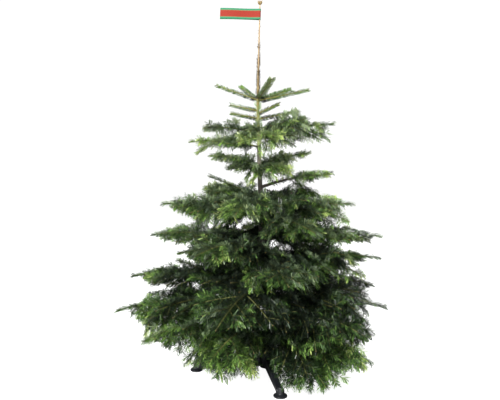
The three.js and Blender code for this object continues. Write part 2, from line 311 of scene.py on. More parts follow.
# %% The mottle group
def add_mottle_group():
    """Two colours mixed by noise that is stretched along each axis, and a height from it."""
    group = bpy.data.node_groups.new("mottle", "ShaderNodeTree")
    face = group.interface
    for name, kind in (("Scale", "Vector"), ("Dark", "Color"), ("Light", "Color"),
                       ("Contrast", "Float")):
        face.new_socket(name=name, in_out="INPUT", socket_type="NodeSocket" + kind)
    for name, kind in (("Colour", "Color"), ("Height", "Float")):
        face.new_socket(name=name, in_out="OUTPUT", socket_type="NodeSocket" + kind)
    given, made = group.nodes.new("NodeGroupInput"), group.nodes.new("NodeGroupOutput")
    place = add_node(group, "TexCoord")
    stretch = add_node(group, "VectorMath", operation="MULTIPLY")
    noise = add_node(group, "TexNoise", {"Scale": 1.0, "Detail": 4.0, "Roughness": 0.62})
    centred = add_node(group, "Math", {1: 0.5}, operation="SUBTRACT")
    spread = add_node(group, "Math", {2: 0.5}, operation="MULTIPLY_ADD", use_clamp=True)
    mix = add_node(group, "Mix", data_type="RGBA")
    wire(
        group,
        (place.outputs["Object"], stretch.inputs[0]),
        (given.outputs["Scale"], stretch.inputs[1]),
        (stretch.outputs["Vector"], noise.inputs["Vector"]),
        (noise.outputs["Fac"], centred.inputs[0]),
        (centred.outputs[0], spread.inputs[0]),
        (given.outputs["Contrast"], spread.inputs[1]),
        (spread.outputs[0], mix.inputs["Factor"]),
        (given.outputs["Dark"], mix.inputs["A"]),
        (given.outputs["Light"], mix.inputs["B"]),
        (mix.outputs["Result"], made.inputs["Colour"]),
        (spread.outputs[0], made.inputs["Height"]),
    )
    return group


def place_mottle(tree, scale, dark, light, contrast=2.0):
    """The mottle group placed in a material with its own values."""
    values = {"Scale": scale, "Dark": dark, "Light": light, "Contrast": contrast}
    return add_node(tree, "Group", values, node_tree=mottle)


mottle = add_mottle_group()
print("node group", mottle.name, "with", len(mottle.nodes), "nodes")

# %% Bark and young wood
BARK_TOP = 1.75  # the height in metres that the right end of the bark's ramps stands for


def colour_ramp(tree, stops, interpolation="LINEAR"):
    """A ramp node through stops of (position, colour)."""
    ramp = add_node(tree, "ValToRGB")
    ramp.color_ramp.interpolation = interpolation
    while len(ramp.color_ramp.elements) < len(stops):
        ramp.color_ramp.elements.new(0.5)
    for element, (position, colour) in zip(ramp.color_ramp.elements, stops):
        element.position, element.color = position, colour
    return ramp


def bark_material():
    """Mottled bark whose two colours follow the height: grey, then beige, olive and tan."""
    material, tree, shader = new_material("bark", {"Roughness": 0.85})
    mottled = place_mottle(tree, (60, 60, 40), (0, 0, 0, 1), (1, 1, 1, 1), contrast=2.4)
    place, split = add_node(tree, "TexCoord"), add_node(tree, "SeparateXYZ")
    height = add_node(tree, "MapRange", {"From Max": BARK_TOP})
    wire(tree, (place.outputs["Object"], split.inputs[0]),
         (split.outputs["Z"], height.inputs["Value"]))
    stops = [  # height in metres, dark and light
        (0.10, srgb(26, 24, 22), srgb(58, 54, 48)),
        (0.75, srgb(48, 46, 42), srgb(102, 98, 90)),
        (0.90, srgb(58, 54, 48), srgb(112, 106, 96)),
        # Painted light: this pale beige band is partly the young bark's own colour, partly
        # brightened and widened to offset the shade that the whorl above casts on it.
        (0.98, srgb(160, 150, 130), srgb(228, 220, 200)),
        (1.07, srgb(160, 150, 130), srgb(228, 220, 200)),
        (1.15, srgb(98, 100, 48), srgb(152, 148, 84)),
        (1.27, srgb(104, 92, 52), srgb(164, 148, 92)),
        (1.45, srgb(128, 100, 66), srgb(196, 172, 132)),
    ]
    for socket, column in (("Dark", 1), ("Light", 2)):
        ramp = colour_ramp(tree, [(stop[0] / BARK_TOP, stop[column]) for stop in stops])
        wire(tree, (height.outputs["Result"], ramp.inputs["Fac"]),
             (ramp.outputs["Color"], mottled.inputs[socket]))
    wire(tree, (mottled.outputs["Colour"], shader.inputs["Base Color"]))
    add_bump(tree, shader, mottled.outputs["Height"], 0.5, 0.0015)
    return material


def spotted_material(name, dark, light, scale, roughness, grain=0.0):
    """Two tones in small spots, scale of them to the metre, and a bump of a grain's depth."""
    material, tree, shader = new_material(name, {"Roughness": roughness})
    spots = place_mottle(tree, (scale, scale, scale), dark, light)
    wire(tree, (spots.outputs["Colour"], shader.inputs["Base Color"]))
    if grain:
        add_bump(tree, shader, spots.outputs["Height"], 0.25, grain)
    return material


BARK = bark_material()
TWIG_WOOD = spotted_material("twig_wood", srgb(48, 54, 26), srgb(112, 114, 54), 160, 0.7)
YOUNG_WOOD = spotted_material("young_wood", srgb(88, 86, 34), srgb(140, 134, 60), 160, 0.7)
print("wood:", BARK.name, TWIG_WOOD.name, YOUNG_WOOD.name)

# %% [markdown]
# ## Trunk
# The trunk is a grid of height by angle. Its centre and radius follow the trunk table. On top of
# that come a collar under every limb, where the wood swells, and a fine relief of cross wrinkles
# that fades towards the smooth leader. Both ends are closed by a fan.

# %% Trunk surface
TRUNK_RINGS, TRUNK_SIDES = 620, 48
COLLAR = 0.28  # a collar's height, as a share of the trunk's radius
COLLAR_SHARE, COLLAR_MORE = 0.55, 3  # a collar's width: a share of the radius, and some mm more
WRINKLE = 0.022  # the wrinkles' height, as a share of the radius
TIP_CONE = 2.5  # mm that the centre of the leader's end stands above its edge


def along_trunk(height, column):
    """Sideways lean (1) or radius (2) of the trunk at a height, on straight lines, in mm."""
    return np.interp(height, TRUNK[:, 0], TRUNK[:, column])


def trunk_relief(height, angle, radius):
    """Radius times: a bell-shaped collar at each limb, plus three crossed sine waves."""
    relief = np.zeros_like(height)
    for limb in limbs:
        away = np.angle(np.exp(1j * (angle - math.radians(limb["azimuth"])))) * radius
        width = COLLAR_SHARE * radius + COLLAR_MORE
        relief += COLLAR * np.exp(-((away / width) ** 2) - (((height - limb["base"]) / width) ** 2))
    wave = np.sin(height * 0.31 + 3 * np.sin(angle * 2)) + np.sin(height * 0.83 + angle * 5)
    wave += np.sin(height * 0.12 - angle * 3 + 2 * np.sin(height * 0.05))
    return relief + WRINKLE * wave * np.interp(height, (0, 900, 1400), (1, 0.7, 0.5))


heights, angles = np.meshgrid(
    np.linspace(TRUNK[0, 0], TRUNK[-1, 0], TRUNK_RINGS),
    np.linspace(0, 2 * np.pi, TRUNK_SIDES, endpoint=False),
    indexing="ij",
)
radii = along_trunk(heights, 2)
radii = radii * (1 + trunk_relief(heights, angles, radii))
lean = along_trunk(heights, 1)
grid = np.stack([lean + radii * np.cos(angles), radii * np.sin(angles), heights], -1)
ends = np.array([[0, 0, TRUNK[0, 0]], [TRUNK[-1, 1], 0, TRUNK[-1, 0] + TIP_CONE]])
points, faces = closed_tubes(grid[None], ends[None])
mesh_piece("trunk_bark", points, faces, BARK, ["trunk"])

# %% [markdown]
# ## Shoots
# A shoot is a curve P(t) = start + run t + bend t², with t from 0 at its root to 1 at its tip, and
# a direction that its frond faces. A limb's own curve is such a shoot already: the line to its tip,
# plus an arch. Side shoots leave it in pairs and grow shorter towards the tip. The first pairs are
# those of the solids, by the same seeded rule, and the finer pairs between them follow it too.

# %% Curves of the limbs
UP = np.array([0.0, 0.0, 1.0])


def limb_curve(limb):
    """Start, run and bend of a limb: reach outwards, rise, and an arch of 4 t (1 - t)."""
    angle, reach, arch = math.radians(limb["azimuth"]), limb["reach"], limb["kind"]["arch"]
    start = np.array([along_trunk(limb["base"], 1), 0, limb["base"]])
    run = np.array([reach * math.cos(angle), reach * math.sin(angle), limb["rise"] + 4 * arch])
    return start, run, np.array([0, 0, -4.0 * arch])


print("the first limb's curve:", *limb_curve(limbs[0]))

# %% Side shoots of the limbs
SEED, SEED_STEP = 20, 97
TWIG_BARE = 0.05  # the share of a twig that has no needles
FIRST_PAIR, LAST_PAIR, STAGGER = 0.3, 0.74, 0.025  # shares of a limb, and left against right
ROOT_PAIR = 0.35  # one more pair at this share of the first pair's place
BOUGH_PAIRS = [-0.12, -0.28]  # places before a mass's start, on its bare bough
LONG_BOUGH = 0.4  # a bough with more than this share of its limb bare has none of those pairs
TIP_PAIR = 0.86  # one more pair near the tip, for limbs at the back and at the bottom
SIDE_ANGLE, ANGLE_SPREAD = 48, 8  # degrees
DROOP_LEAST, DROOP_MORE = -0.5, 2.4  # times the droop of the limb's kind
SIDE_SHARE, SIDE_MORE, LENGTH_SPREAD = 0.66, 44, 0.2
ROLL_LEAST, ROLL_MORE = 30, 30  # degrees
TIP_SHORT = 0.45  # how much shorter the side shoots are near a limb's slim tip
TIP_FROM, TIP_OVER = 0.55, 0.3  # where that shortening starts, and over which share it grows


def make_random(seed):
    """A seeded row of numbers from 0 to 1, by Park and Miller's rule."""
    state = seed

    def following():
        """The next number: the state times 16807, modulo 2147483647, as a share of that."""
        nonlocal state
        state = state * 16807 % 2147483647
        return state / 2147483647

    return following


def side_shoot(limb, curve, share, side, random):
    """One side shoot at a share of the limb's reach, on its left (1) or right (-1).

    It leaves at about 48 degrees to the limb, droops, and is as long as a share of the limb's
    remaining reach and some mm more. Its roll turns the plane of its own pairs about it.
    """
    start, run, bend = curve
    ahead = unit(run + 2 * bend * share)
    angle = math.radians(SIDE_ANGLE + ANGLE_SPREAD * (random() - 0.5))
    across = unit(np.cross(UP, ahead))
    direction = ahead * math.cos(angle) + across * (side * math.sin(angle))
    direction[2] -= limb["kind"]["droop"] * (DROOP_LEAST + DROOP_MORE * random())
    length = SIDE_SHARE * (1 - share) * limb["reach"] + SIDE_MORE
    length *= 1 + LENGTH_SPREAD * (random() - 0.5)
    length *= 1 - TIP_SHORT * min(max((share - TIP_FROM) / TIP_OVER, 0), 1)
    turn_side = -1 if random() < 0.5 else 1
    roll = turn_side * (ROLL_LEAST + ROLL_MORE * random())
    place = start + run * share + bend * share**2
    return (*place, *unit(direction), length, math.radians(roll), share)


def side_shoots(limb, number):
    """The side shoots of one limb: the pairs of the solids first, then the finer ones between."""
    random = make_random(SEED + SEED_STEP * (number + 1))
    curve = limb_curve(limb)
    pairs, fine = limb["kind"]["pairs"], limb["kind"]["fine"]
    if pairs == 0:
        return []
    random(), random()  # the solid's spray at the tip takes the first two numbers
    gap = (LAST_PAIR - FIRST_PAIR) / (pairs - 1)
    places = [FIRST_PAIR + gap * pair for pair in range(pairs)]
    places += [FIRST_PAIR + gap * k / fine for k in range(-2, fine * (pairs - 1)) if k % fine]
    places += [FIRST_PAIR * ROOT_PAIR]
    if 0 < limb["bare"] < LONG_BOUGH:
        places += BOUGH_PAIRS
    if "back" in limb["name"] or "lowest" in limb["name"]:
        places += [TIP_PAIR]
    bare, covered = limb["bare"], 1 - limb["bare"]
    return [
        (number, *side_shoot(limb, curve, bare + covered * (place + side * STAGGER), side, random))
        for place in places for side in (-1, 1)
    ]


side_table = np.array([
    row for number, limb in enumerate(limbs) for row in side_shoots(limb, number)
])
print(len(side_table), "side shoots on", len(limbs), "limbs")

# %% [markdown]
# ## Room for the shoots
# From here on all shoots of one order are handled together, as arrays with one row a shoot. A shoot
# that would grow past the box of its mass is cut back to it, so the whole stays as wide and as high
# as the solids.

# %% Boxes of the masses
rng = np.random.default_rng(7)
INSIDE = np.array([12, 12, 8])  # how far a shoot's end stays inside its mass's box, in mm
masses = [limb["name"] for limb in limbs]
mass_boxes = np.array([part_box(name) for name in masses]) / MM
mass_low = mass_boxes[:, 0] + INSIDE
mass_high = mass_boxes[:, 1] - INSIDE
crown_low, crown_high = mass_low.min(axis=0), mass_high.max(axis=0)
limb_start, limb_run, limb_bend = (np.array(part) for part in zip(*map(limb_curve, limbs)))
print("all shoots end between", crown_low.round(), "and", crown_high.round(), "mm")

# %% [markdown]
# ## Layers of fronds
# A frond is a layer: deep at the trunk, where its side shoots hang and rise freely, and slim at its
# tip, so that light comes between one layer and the next. Each limb has a band round its line with
# four depths in mm: how far its shoots may hang at the tip, how much more at the root, how far they
# may rise at the tip, and how much more at the root. The end of a side shoot is moved up or down
# into the band. The lowest limbs and the twigs are free to hang as far as their masses do.

# %% Bands round the limbs
USUAL_BAND = (6, 400, 4, 260)
FREE_BAND = (1000, 0, 1000, 0)
BAND_POWER = 1.5  # the depth goes with this power of the share of the reach that is left
BANDS = dict(
    upper_mass_left=(6, 150, 4, 120),
    upper_mass_back_left=(6, 120, 4, 260),
    upper_mass_back_right=(6, 300, 2, 110),
    middle_mass_left=(6, 110, 4, 200),
    middle_mass_right=(6, 110, 4, 200),
    middle_mass_back=(6, 60, 4, 120),
    single_right=(6, 110, 3, 30),
    shoulder_mass_right=(6, 400, 4, 90),
    shoulder_mass_left=(6, 400, 4, 120),
    second_mass_right=(5, 120, 3, 90),
    second_mass_left=(5, 160, 3, 220),
    fourth_mass_left=(6, 260, 4, 260),
    fifth_mass_left=(60, 400, 4, 90),
    fifth_mass_right=(60, 400, 6, 200),
    fifth_mass_back=(100, 400, 6, 120),
)
FALL = dict(  # how much deeper the tips of the lowest limbs hang, in mm
    lowest_mass_right=70,
    lowest_mass_front_right=50,
    lowest_mass_front_left=45,
    lowest_mass_left=-20,
)


def band_of(name):
    """A limb's band: its own, or else the free or the usual one."""
    is_free = name.startswith(("fifth", "lowest")) or "twig" in name
    return BANDS.get(name, FREE_BAND if is_free else USUAL_BAND)


def near_limb(end, limb):
    """The end points' heights, moved into the band round their limb's line, slim at its tip."""
    reach = np.hypot(limb_run[limb, 0], limb_run[limb, 1])
    out = np.hypot(end[:, 0] - limb_start[limb, 0], end[:, 1]) / reach
    out = np.clip(out, 0, 1)
    line = limb_start[limb, 2] + limb_run[limb, 2] * out + limb_bend[limb, 2] * out**2
    hang, hang_more, rise, rise_more = bands[limb].T
    root_share = (1 - out) ** BAND_POWER
    kept = end[:, 2] - fall[limb] * out
    kept = np.clip(kept, line - hang - hang_more * root_share, line + rise + rise_more * root_share)
    return np.clip(kept, mass_low[limb, 2], mass_high[limb, 2])


bands = np.array([band_of(name) for name in masses])
fall = np.array([FALL.get(name, 0) for name in masses])
print(len(BANDS), "limbs have a band of their own")

# %% [markdown]
# ## A clearing in front of one leg
# One leg of the stand points to the front, and the foliage is open over it. Seen from the eye, the
# leg is a short sloping line. A shoot that would grow across that line is cut off just before it.
# Ten points along each shoot are looked at, all in one array.

# %% Clearing
LEG_VIEW = [(-0.0081, 0.3569), (0.0211, 0.4336)]  # the leg's ends, as slopes aside and down
LEG_ROOM, LEG_ABOVE = 0.017, 0.01  # the clearing's half width and its reach upwards, as slopes
LEG_BEFORE = -50  # only points nearer than this y can hide the leg, in mm
LOOK_STEP, STOP_AT = 0.1, 0.04  # steps along a shoot, and where in its step it is cut off


def hides_leg(points):
    """True for points (..., 3) in mm that stand before the front leg, seen from the eye."""
    ahead = points[..., 1] * MM - EYE[1]
    aside = (points[..., 0] * MM - EYE[0]) / ahead
    down = (EYE[2] - points[..., 2] * MM) / ahead
    (s0, d0), (s1, d1) = LEG_VIEW
    line = s0 + (s1 - s0) * (down - d0) / (d1 - d0)
    before = (down > d0 - LEG_ABOVE) & (points[..., 1] < LEG_BEFORE)
    return before & (np.abs(aside - line) < LEG_ROOM)


def share_before_leg(start, run, bend):
    """The share of each shoot that is left, so that it ends before it hides the leg."""
    t = np.linspace(LOOK_STEP, 1, 10)[:, None, None]
    hiding = hides_leg(start + run * t + bend * t**2)
    return np.where(hiding.any(axis=0), STOP_AT + LOOK_STEP * hiding.argmax(axis=0), 1.0)


print("2 m from the eye, the clearing is", round(2 * 2 * LEG_ROOM / MM), "mm wide")

# %% [markdown]
# ## Rows of shoots
# A group of shoots is a dictionary with one array a property: start, run and bend of the curve, the
# direction that the frond faces, the radius and the limb's number. Every shoot sags a little under
# its weight, which is its bend. Shoots that grow on a limb keep to its band and to its mass's box,
# and the others to the box of the whole crown.


# %% Helpers for rows of shoots
def share_in_box(start, end, limb, boxed):
    """The share of each shoot that stays in its box: the least room to a side, over the way."""
    low = np.minimum(np.where(boxed[:, None], mass_low[limb], crown_low), start)
    high = np.maximum(np.where(boxed[:, None], mass_high[limb], crown_high), start)
    room = np.where(end > 0, high - start, low - start) / np.where(np.abs(end) > 0.01, end, 0.01)
    return np.clip(room.min(axis=1), 0.0, 1.0)


def shoot_rows(start, direction, length, facing, radius, limb, sag, boxed):
    """Rows for shoots that sag by sag times their length times t², cut to the room they have."""
    run = direction * length[:, None]
    bend = -UP * (sag * length)[:, None]
    level = start[:, 2] + run[:, 2] + bend[:, 2]
    run[:, 2] += np.where(boxed, near_limb(start + run + bend, limb) - level, 0)
    in_box = share_in_box(start, run + bend, limb, boxed)
    cut = np.minimum(in_box, share_before_leg(start, run, bend))[:, None]
    return dict(start=start, run=run * cut, bend=bend * cut, facing=facing, radius=radius, limb=limb)


def place_on(rows, parent, share):
    """Points of the shoots numbered parent, at a share of their length."""
    share = share[:, None]
    return rows["start"][parent] + rows["run"][parent] * share + rows["bend"][parent] * share**2


def axes_on(run, bend, facing, t):
    """At t on a curve: the directions ahead, across in the frond's plane, and above the frond."""
    ahead = unit(run + 2 * bend * t)
    across = unit(np.cross(facing, ahead))
    return ahead, across, np.cross(ahead, across)


def dealt_out(count):
    """For count[i] children of each parent i: every child's parent, and its rank there from 0."""
    parent = np.repeat(np.arange(len(count)), count)
    return parent, np.arange(len(parent)) - np.repeat(np.cumsum(count) - count, count)


def joined(*groups):
    """Several groups of shoots as one."""
    return {key: np.concatenate([group[key] for group in groups]) for key in groups[0]}


def picked(rows, chosen):
    """Some of the shoots of a group, as a group."""
    return {key: value[chosen] for key, value in rows.items()}


# %% [markdown]
# ## Weak shoots on the trunk
# Between its whorls the trunk carries weak shoots all round, which fill the crown's inside with
# green. Each next one stands a golden angle further round and a golden share further up, so any
# number of them is spread evenly without two in one place.

# %% Weak shoots
GOLDEN_SHARE, GOLDEN_ANGLE = 0.618034, 2.39996
WEAK_RISE, WEAK_RISE_MORE = -0.25, 0.6  # how steep they are, as slopes
WEAK_LENGTHS = (290, 130)  # at the lower and the upper end of their stretch, in mm
WEAK_SHARE, WEAK_SHARE_MORE = 0.75, 0.5  # of that length
WEAK_ROLL, WEAK_ROLL_MORE = 20, 30  # degrees
WEAK_TONE_PLACE = 0.1  # coloured like side shoots at this share of a limb's reach


def weak_shoots(count, low, high):
    """Rows of the side table for the trunk from low to high, shorter upwards."""
    step = np.arange(count)
    z = low + (high - low) * (step * GOLDEN_SHARE % 1.0)
    azimuth = step * GOLDEN_ANGLE
    slope = WEAK_RISE + WEAK_RISE_MORE * rng.random(count)
    out = np.stack([np.cos(azimuth), np.sin(azimuth), slope], 1)
    start = np.stack([along_trunk(z, 1), np.zeros(count), z], 1)
    length = np.interp(z, (low, high), WEAK_LENGTHS)
    length = length * (WEAK_SHARE + WEAK_SHARE_MORE * rng.random(count))
    roll = rng.choice([-1, 1], count) * (WEAK_ROLL + WEAK_ROLL_MORE * rng.random(count))
    height = np.array([limb["base"] for limb in limbs])
    nearest = np.abs(height[None] - z[:, None]).argmin(axis=1)
    place = np.full(count, WEAK_TONE_PLACE)
    return np.column_stack([nearest, start, unit(out), length, np.radians(roll), place])


weak = np.concatenate([weak_shoots(140, 190, 820), weak_shoots(24, 520, 660)])
print(len(weak), "weak shoots on the trunk")

# %% [markdown]
# ## Strong shoots
# Here and there a shoot stands out of its frond: a forked tip, or one that has turned up to the
# light. They give the crown its ragged edge. A table names the limb, and then for each of its strong
# shoots the share of the limb where it starts and the x, y and z of its tip.

# %% Strong shoots
STRONG_ROLL = 25  # degrees
STRONG_TONE_PLACE = 0.55  # coloured like side shoots at this share of a limb's reach
STRONG_SHOOTS = [
    ("upper_mass_back_left", [(0.35, -165, 60, 1200)]),
    ("upper_mass_left", [(0.6, -320, -90, 1050)]),
    ("upper_mass_front", [(0.5, 0, -210, 1035), (0.7, 40, -230, 1050)]),
    ("upper_mass_right", [(0.6, 290, -60, 1110), (0.5, 245, -100, 1100)]),
    ("upper_mass_front", [(0.15, -60, -110, 1160)]),
    ("upper_mass_right", [(0.12, 20, -90, 1165)]),
    ("middle_mass_left", [(0.15, -95, -40, 900)]),
    ("middle_mass_front", [(0.2, -75, -90, 895), (0.35, 20, -120, 900)]),
    ("single_right", [(0.42, 165, -60, 862), (0.5, 190, -40, 850)]),
    ("first_mass_left", [(0.5, -330, -70, 705), (0.35, -250, -60, 690)]),
    ("first_mass_front", [(0.15, -100, -120, 700)]),
    ("first_mass_right", [(0.5, 370, -110, 725), (0.35, 300, -130, 715)]),
    ("second_mass_right", [(0.15, 60, -90, 610), (0.2, 90, -60, 590)]),
    ("third_mass_right", [(0.4, 450, -80, 490)]),
    ("fourth_mass_left", [(0.4, -430, -10, 525), (0.3, -330, -30, 520), (0.55, -520, -20, 488)]),
    ("fourth_mass_right", [(0.45, 490, 20, 345)]),
    ("fifth_mass_left", [
        (0.75, -560, -120, 205), (0.6, -500, -130, 190), (0.7, -520, -60, 215),
        (0.68, -535, -170, 195),
    ]),
    ("fifth_mass_right", [(0.7, 410, -180, 190), (0.5, 470, -150, 215), (0.6, 400, -220, 165)]),
    ("lowest_mass_left", [
        (0.3, -350, -260, 150), (0.4, -340, -190, 175), (0.45, -360, -150, 185),
        (0.7, -440, -260, 195), (0.8, -500, -250, 205),
    ]),
    ("lowest_mass_front_left", [(0.35, -300, -330, 160)]),
    ("lowest_mass_right", [(0.6, 400, -250, 115), (0.45, 290, -350, 100)]),
    ("lowest_mass_front_right", [(0.6, 170, -400, 112)]),
    ("lowest_mass_front_left", [(0.3, -50, -210, 66), (0.4, -98, -240, 72)]),
]


def strong_shoot(name, share, tip):
    """One row of the side table: from a place on a limb straight to the tip."""
    number = masses.index(name)
    start, run, bend = limb_start[number], limb_run[number], limb_bend[number]
    place = start + run * share + bend * share**2
    way = np.array(tip) - place
    length = np.linalg.norm(way)
    return (number, *place, *unit(way), length, math.radians(STRONG_ROLL), STRONG_TONE_PLACE)


strong = np.array([
    strong_shoot(name, share, tip) for name, rows in STRONG_SHOOTS for share, *tip in rows
])
print(len(strong), "strong shoots")

# %% [markdown]
# ## Side shoots as arrays
# The table's columns become arrays. The plane of a side shoot's own pairs is the level one, turned
# about the shoot by its roll. The side shoots of the limbs keep to their bands, the weak and the
# strong ones are free.

# %% Side shoots as arrays
SIDE_RADIUS, RADIUS_SHARE = 1.0, 0.008  # mm, and how much more for each mm of length
SIDE_SAG, SIDE_SAG_MORE = 0.04, 0.12
on_limbs = len(side_table)
side_table = np.concatenate([side_table, weak, strong])
side_limb = side_table[:, 0].astype(int)
side_start, side_direction = side_table[:, 1:4], side_table[:, 4:7]
side_length, side_roll, side_share = side_table[:, 7], side_table[:, 8], side_table[:, 9]
flat_across = unit(np.cross(UP, side_direction))
flat_above = np.cross(side_direction, flat_across)
side_across = flat_across * np.cos(side_roll)[:, None] + flat_above * np.sin(side_roll)[:, None]
side_facing = np.cross(side_direction, side_across)
side_rows = shoot_rows(
    side_start, side_direction, side_length, side_facing,
    radius=SIDE_RADIUS + RADIUS_SHARE * side_length, limb=side_limb,
    sag=SIDE_SAG + SIDE_SAG_MORE * rng.random(len(side_table)),
    boxed=np.arange(len(side_table)) < on_limbs,
)
print(len(side_table), "side shoots in all, together", round(side_length.sum() * MM), "m long")

# %% [markdown]
# ## Fine shoots
# A side shoot carries pairs of its own about every 60 mm, shorter towards its tip. They lie in the
# plane that its roll gives, and each leans a little out of it. The left and the right one of a pair
# are two groups of arrays, with the same parents and their own random numbers.

# %% Fine shoots
FINE_SPACING = 60  # mm from one pair to the next
FINE_ANGLE, FINE_ANGLE_SPREAD = 46, 16  # degrees
OUT_OF_PLANE = 0.4  # how far they lean out of their plane, as a slope
FINE_SHARE, FINE_TAPER, FINE_MORE = 0.36, 0.75, 20  # of the parent's length, and some mm more
FINE_RADIUS = 1.1  # mm
FINE_SAG, FINE_SAG_MORE = 0.05, 0.2
FINE_STAGGER, FINE_FIRST, FINE_LAST = 0.03, 0.05, 0.9  # shares of the parent

pair_count = np.maximum(1, np.round(side_length / FINE_SPACING)).astype(int)
parent, rank = dealt_out(pair_count)
fine_count = len(parent)
place_on_side = (rank + 0.7 + 0.3 * rng.random(fine_count)) / (pair_count[parent] + 0.9)


def fine_shoots(hand):
    """Fine shoots on one hand (-1 or 1): direction = ahead cos(angle) + hand across sin(angle)."""
    share = np.clip(place_on_side + hand * FINE_STAGGER, FINE_FIRST, FINE_LAST)
    angle = np.radians(FINE_ANGLE + FINE_ANGLE_SPREAD * (rng.random(fine_count) - 0.5))[:, None]
    direction = side_direction[parent] * np.cos(angle) + hand * side_across[parent] * np.sin(angle)
    direction += side_facing[parent] * (OUT_OF_PLANE * (rng.random((fine_count, 1)) - 0.4))
    length = FINE_SHARE * side_length[parent] * (1 - FINE_TAPER * share) + FINE_MORE
    length = length * (0.8 + 0.4 * rng.random(fine_count))
    return shoot_rows(
        place_on(side_rows, parent, share), unit(direction), length, side_facing[parent],
        radius=np.full(fine_count, FINE_RADIUS), limb=side_limb[parent],
        sag=FINE_SAG + FINE_SAG_MORE * rng.random(fine_count), boxed=parent < on_limbs,
    )


fine_rows = joined(fine_shoots(-1), fine_shoots(1))
print(len(fine_rows["start"]), "fine shoots")

# %% [markdown]
# ## Limbs as shoots
# The limbs are a group of rows too, and each faces up, square to its run. The young twigs at the top
# are the exception: those that don't point at the viewer turn their flat side to the front.

# %% Limbs as rows
YOUNG_FACING = np.array([0, -0.9, 0.5])
TO_VIEWER = -0.75  # a twig whose direction has a y under this points at the viewer
is_twig = np.array([limb["kind"]["pairs"] == 0 for limb in limbs])
is_young = np.array([limb["name"].startswith(("top", "spur")) for limb in limbs])
main_ahead = unit(limb_run)
main_facing = np.cross(main_ahead, unit(np.cross(UP, limb_run)))
main_facing[is_young & (main_ahead[:, 1] > TO_VIEWER)] = unit(YOUNG_FACING)
stems = np.array([limb["kind"]["stem"] for limb in limbs], dtype=float)
main_rows = dict(start=limb_start, run=limb_run, bend=limb_bend, facing=main_facing,
                 radius=stems, limb=np.arange(len(limbs)))
rows_all = joined(main_rows, side_rows, fine_rows)
print(len(rows_all["start"]), "shoots in all")

# %% [markdown]
# ## Wood of the shoots
# Every shoot is a thin tapering tube. A ring of points is carried along each curve: its two
# directions are the one across the curve in the frond's plane, and the one that the frond faces.
# The five bare boughs are such tubes too, with more rings and a relief like the trunk's.


# %% Tubes along the shoots
def shoot_tubes(rows, rings, sides, tip_share, last=1.0, relief=0.0):
    """Closed tubes from t = 0 to t = last, whose radius goes down to tip_share of itself.

    The relief is two crossed waves round and along the tube, as a share of the radius.
    """
    way = np.linspace(0, 1, rings)
    t = (last * way)[None, :, None]
    run, bend, facing = (rows[key][:, None] for key in ("run", "bend", "facing"))
    points = rows["start"][:, None] + run * t + bend * t**2
    _, across, above = axes_on(run, bend, facing, t)
    angle = np.linspace(0, 2 * np.pi, sides, endpoint=False)
    waves = np.sin(90 * way[:, None] + 3 * np.sin(2 * angle)) + np.sin(37 * way[:, None] - 3 * angle)
    radius = rows["radius"][:, None, None] * (1 + (tip_share - 1) * way)[:, None]
    radius = radius * (1 + relief * waves)
    surface = points[:, :, None] + circles(across, above, sides) * radius[..., None]
    return closed_tubes(surface, points[:, [0, -1]])


# %% Boughs
BOUGH_ROOT = 8.5  # a bough's radius at the trunk, in mm
IN_MASS = 0.01  # how far a bough's end stands in its mass, as a share of the limb's reach
for number, limb in enumerate(limbs):
    if limb["bare"] > 0:
        row = dict(picked(main_rows, [number]), radius=np.array([BOUGH_ROOT]))
        tip_share = limb["kind"]["stem"] / BOUGH_ROOT
        points, faces = shoot_tubes(row, 90, 20, tip_share, limb["bare"] + IN_MASS, relief=0.035)
        name = limb["name"].replace("_mass", "") + "_bough"
        mesh_piece(name + "_bark", points, faces, BARK, [name])

# %% Stems and twigs
for piece, material, chosen in (("young_stems", YOUNG_WOOD, is_young),
                                ("main_stems", TWIG_WOOD, ~is_young)):
    points, faces = shoot_tubes(picked(main_rows, chosen), 16, 10, tip_share=0.35, relief=0.03)
    replaced = [name for name, here in zip(masses, chosen) if here]
    mesh_piece(piece, points, faces, material, replaced)
for piece, rows, rings, sides, tip_share in (("side_twigs", side_rows, 5, 6, 0.5),
                                             ("fine_twigs", fine_rows, 3, 4, 0.7)):
    points, faces = shoot_tubes(rows, rings, sides, tip_share)
    mesh_piece(piece, points, faces, TWIG_WOOD, masses)

# %% [markdown]
# ## Buds
# Each limb and each side shoot ends in a small egg-shaped bud. The leader ends in four larger ones,
# pale tan: one upright between three that lean out. An egg is a short tube whose ring radius is the
# sine of the way along it, with points at both ends.


# %% Eggs along short lines
def eggs(root, direction, length, width, rings, sides):
    """Closed eggs from a root along a direction: radius = width/2 sin(pi s^0.8)."""
    way = (np.arange(rings) + 1) / (rings + 1)
    side = np.where(np.abs(direction[:, [2]]) > 0.9, [[1.0, 0, 0]], UP[None])
    across = unit(np.cross(side, direction))
    above = np.cross(direction, across)
    radius = 0.5 * width * np.sin(np.pi * way**0.8)
    line = root[:, None] + direction[:, None] * (length * way)[:, None]
    rings_of = circles(across[:, None], above[:, None], sides) * radius[:, None, None]
    ends = np.stack([root, root + direction * length], 1)
    return closed_tubes(line[:, :, None] + rings_of, ends)


# %% Leader buds and shoot buds
BUDS = spotted_material("buds", srgb(84, 64, 34), srgb(150, 128, 80), 420, 0.6)
BUD_ROOT = 11  # mm below the leader's tip
leader_tip = np.array([TRUNK[-1, 1], 0, TRUNK[-1, 0] - BUD_ROOT])
fan, spread = np.radians([100, 215, 335, 0]), np.array([0.6, 0.6, 0.6, 0.0])
lean_out = unit(np.stack([spread * np.cos(fan), spread * np.sin(fan), np.ones(4)], 1))
leader_tips = np.repeat(leader_tip[None], 4, 0)
points, faces = eggs(leader_tips, lean_out, length=24, width=11, rings=8, sides=12)
mesh_piece("leader_buds", points, faces, BUDS, ["trunk"])

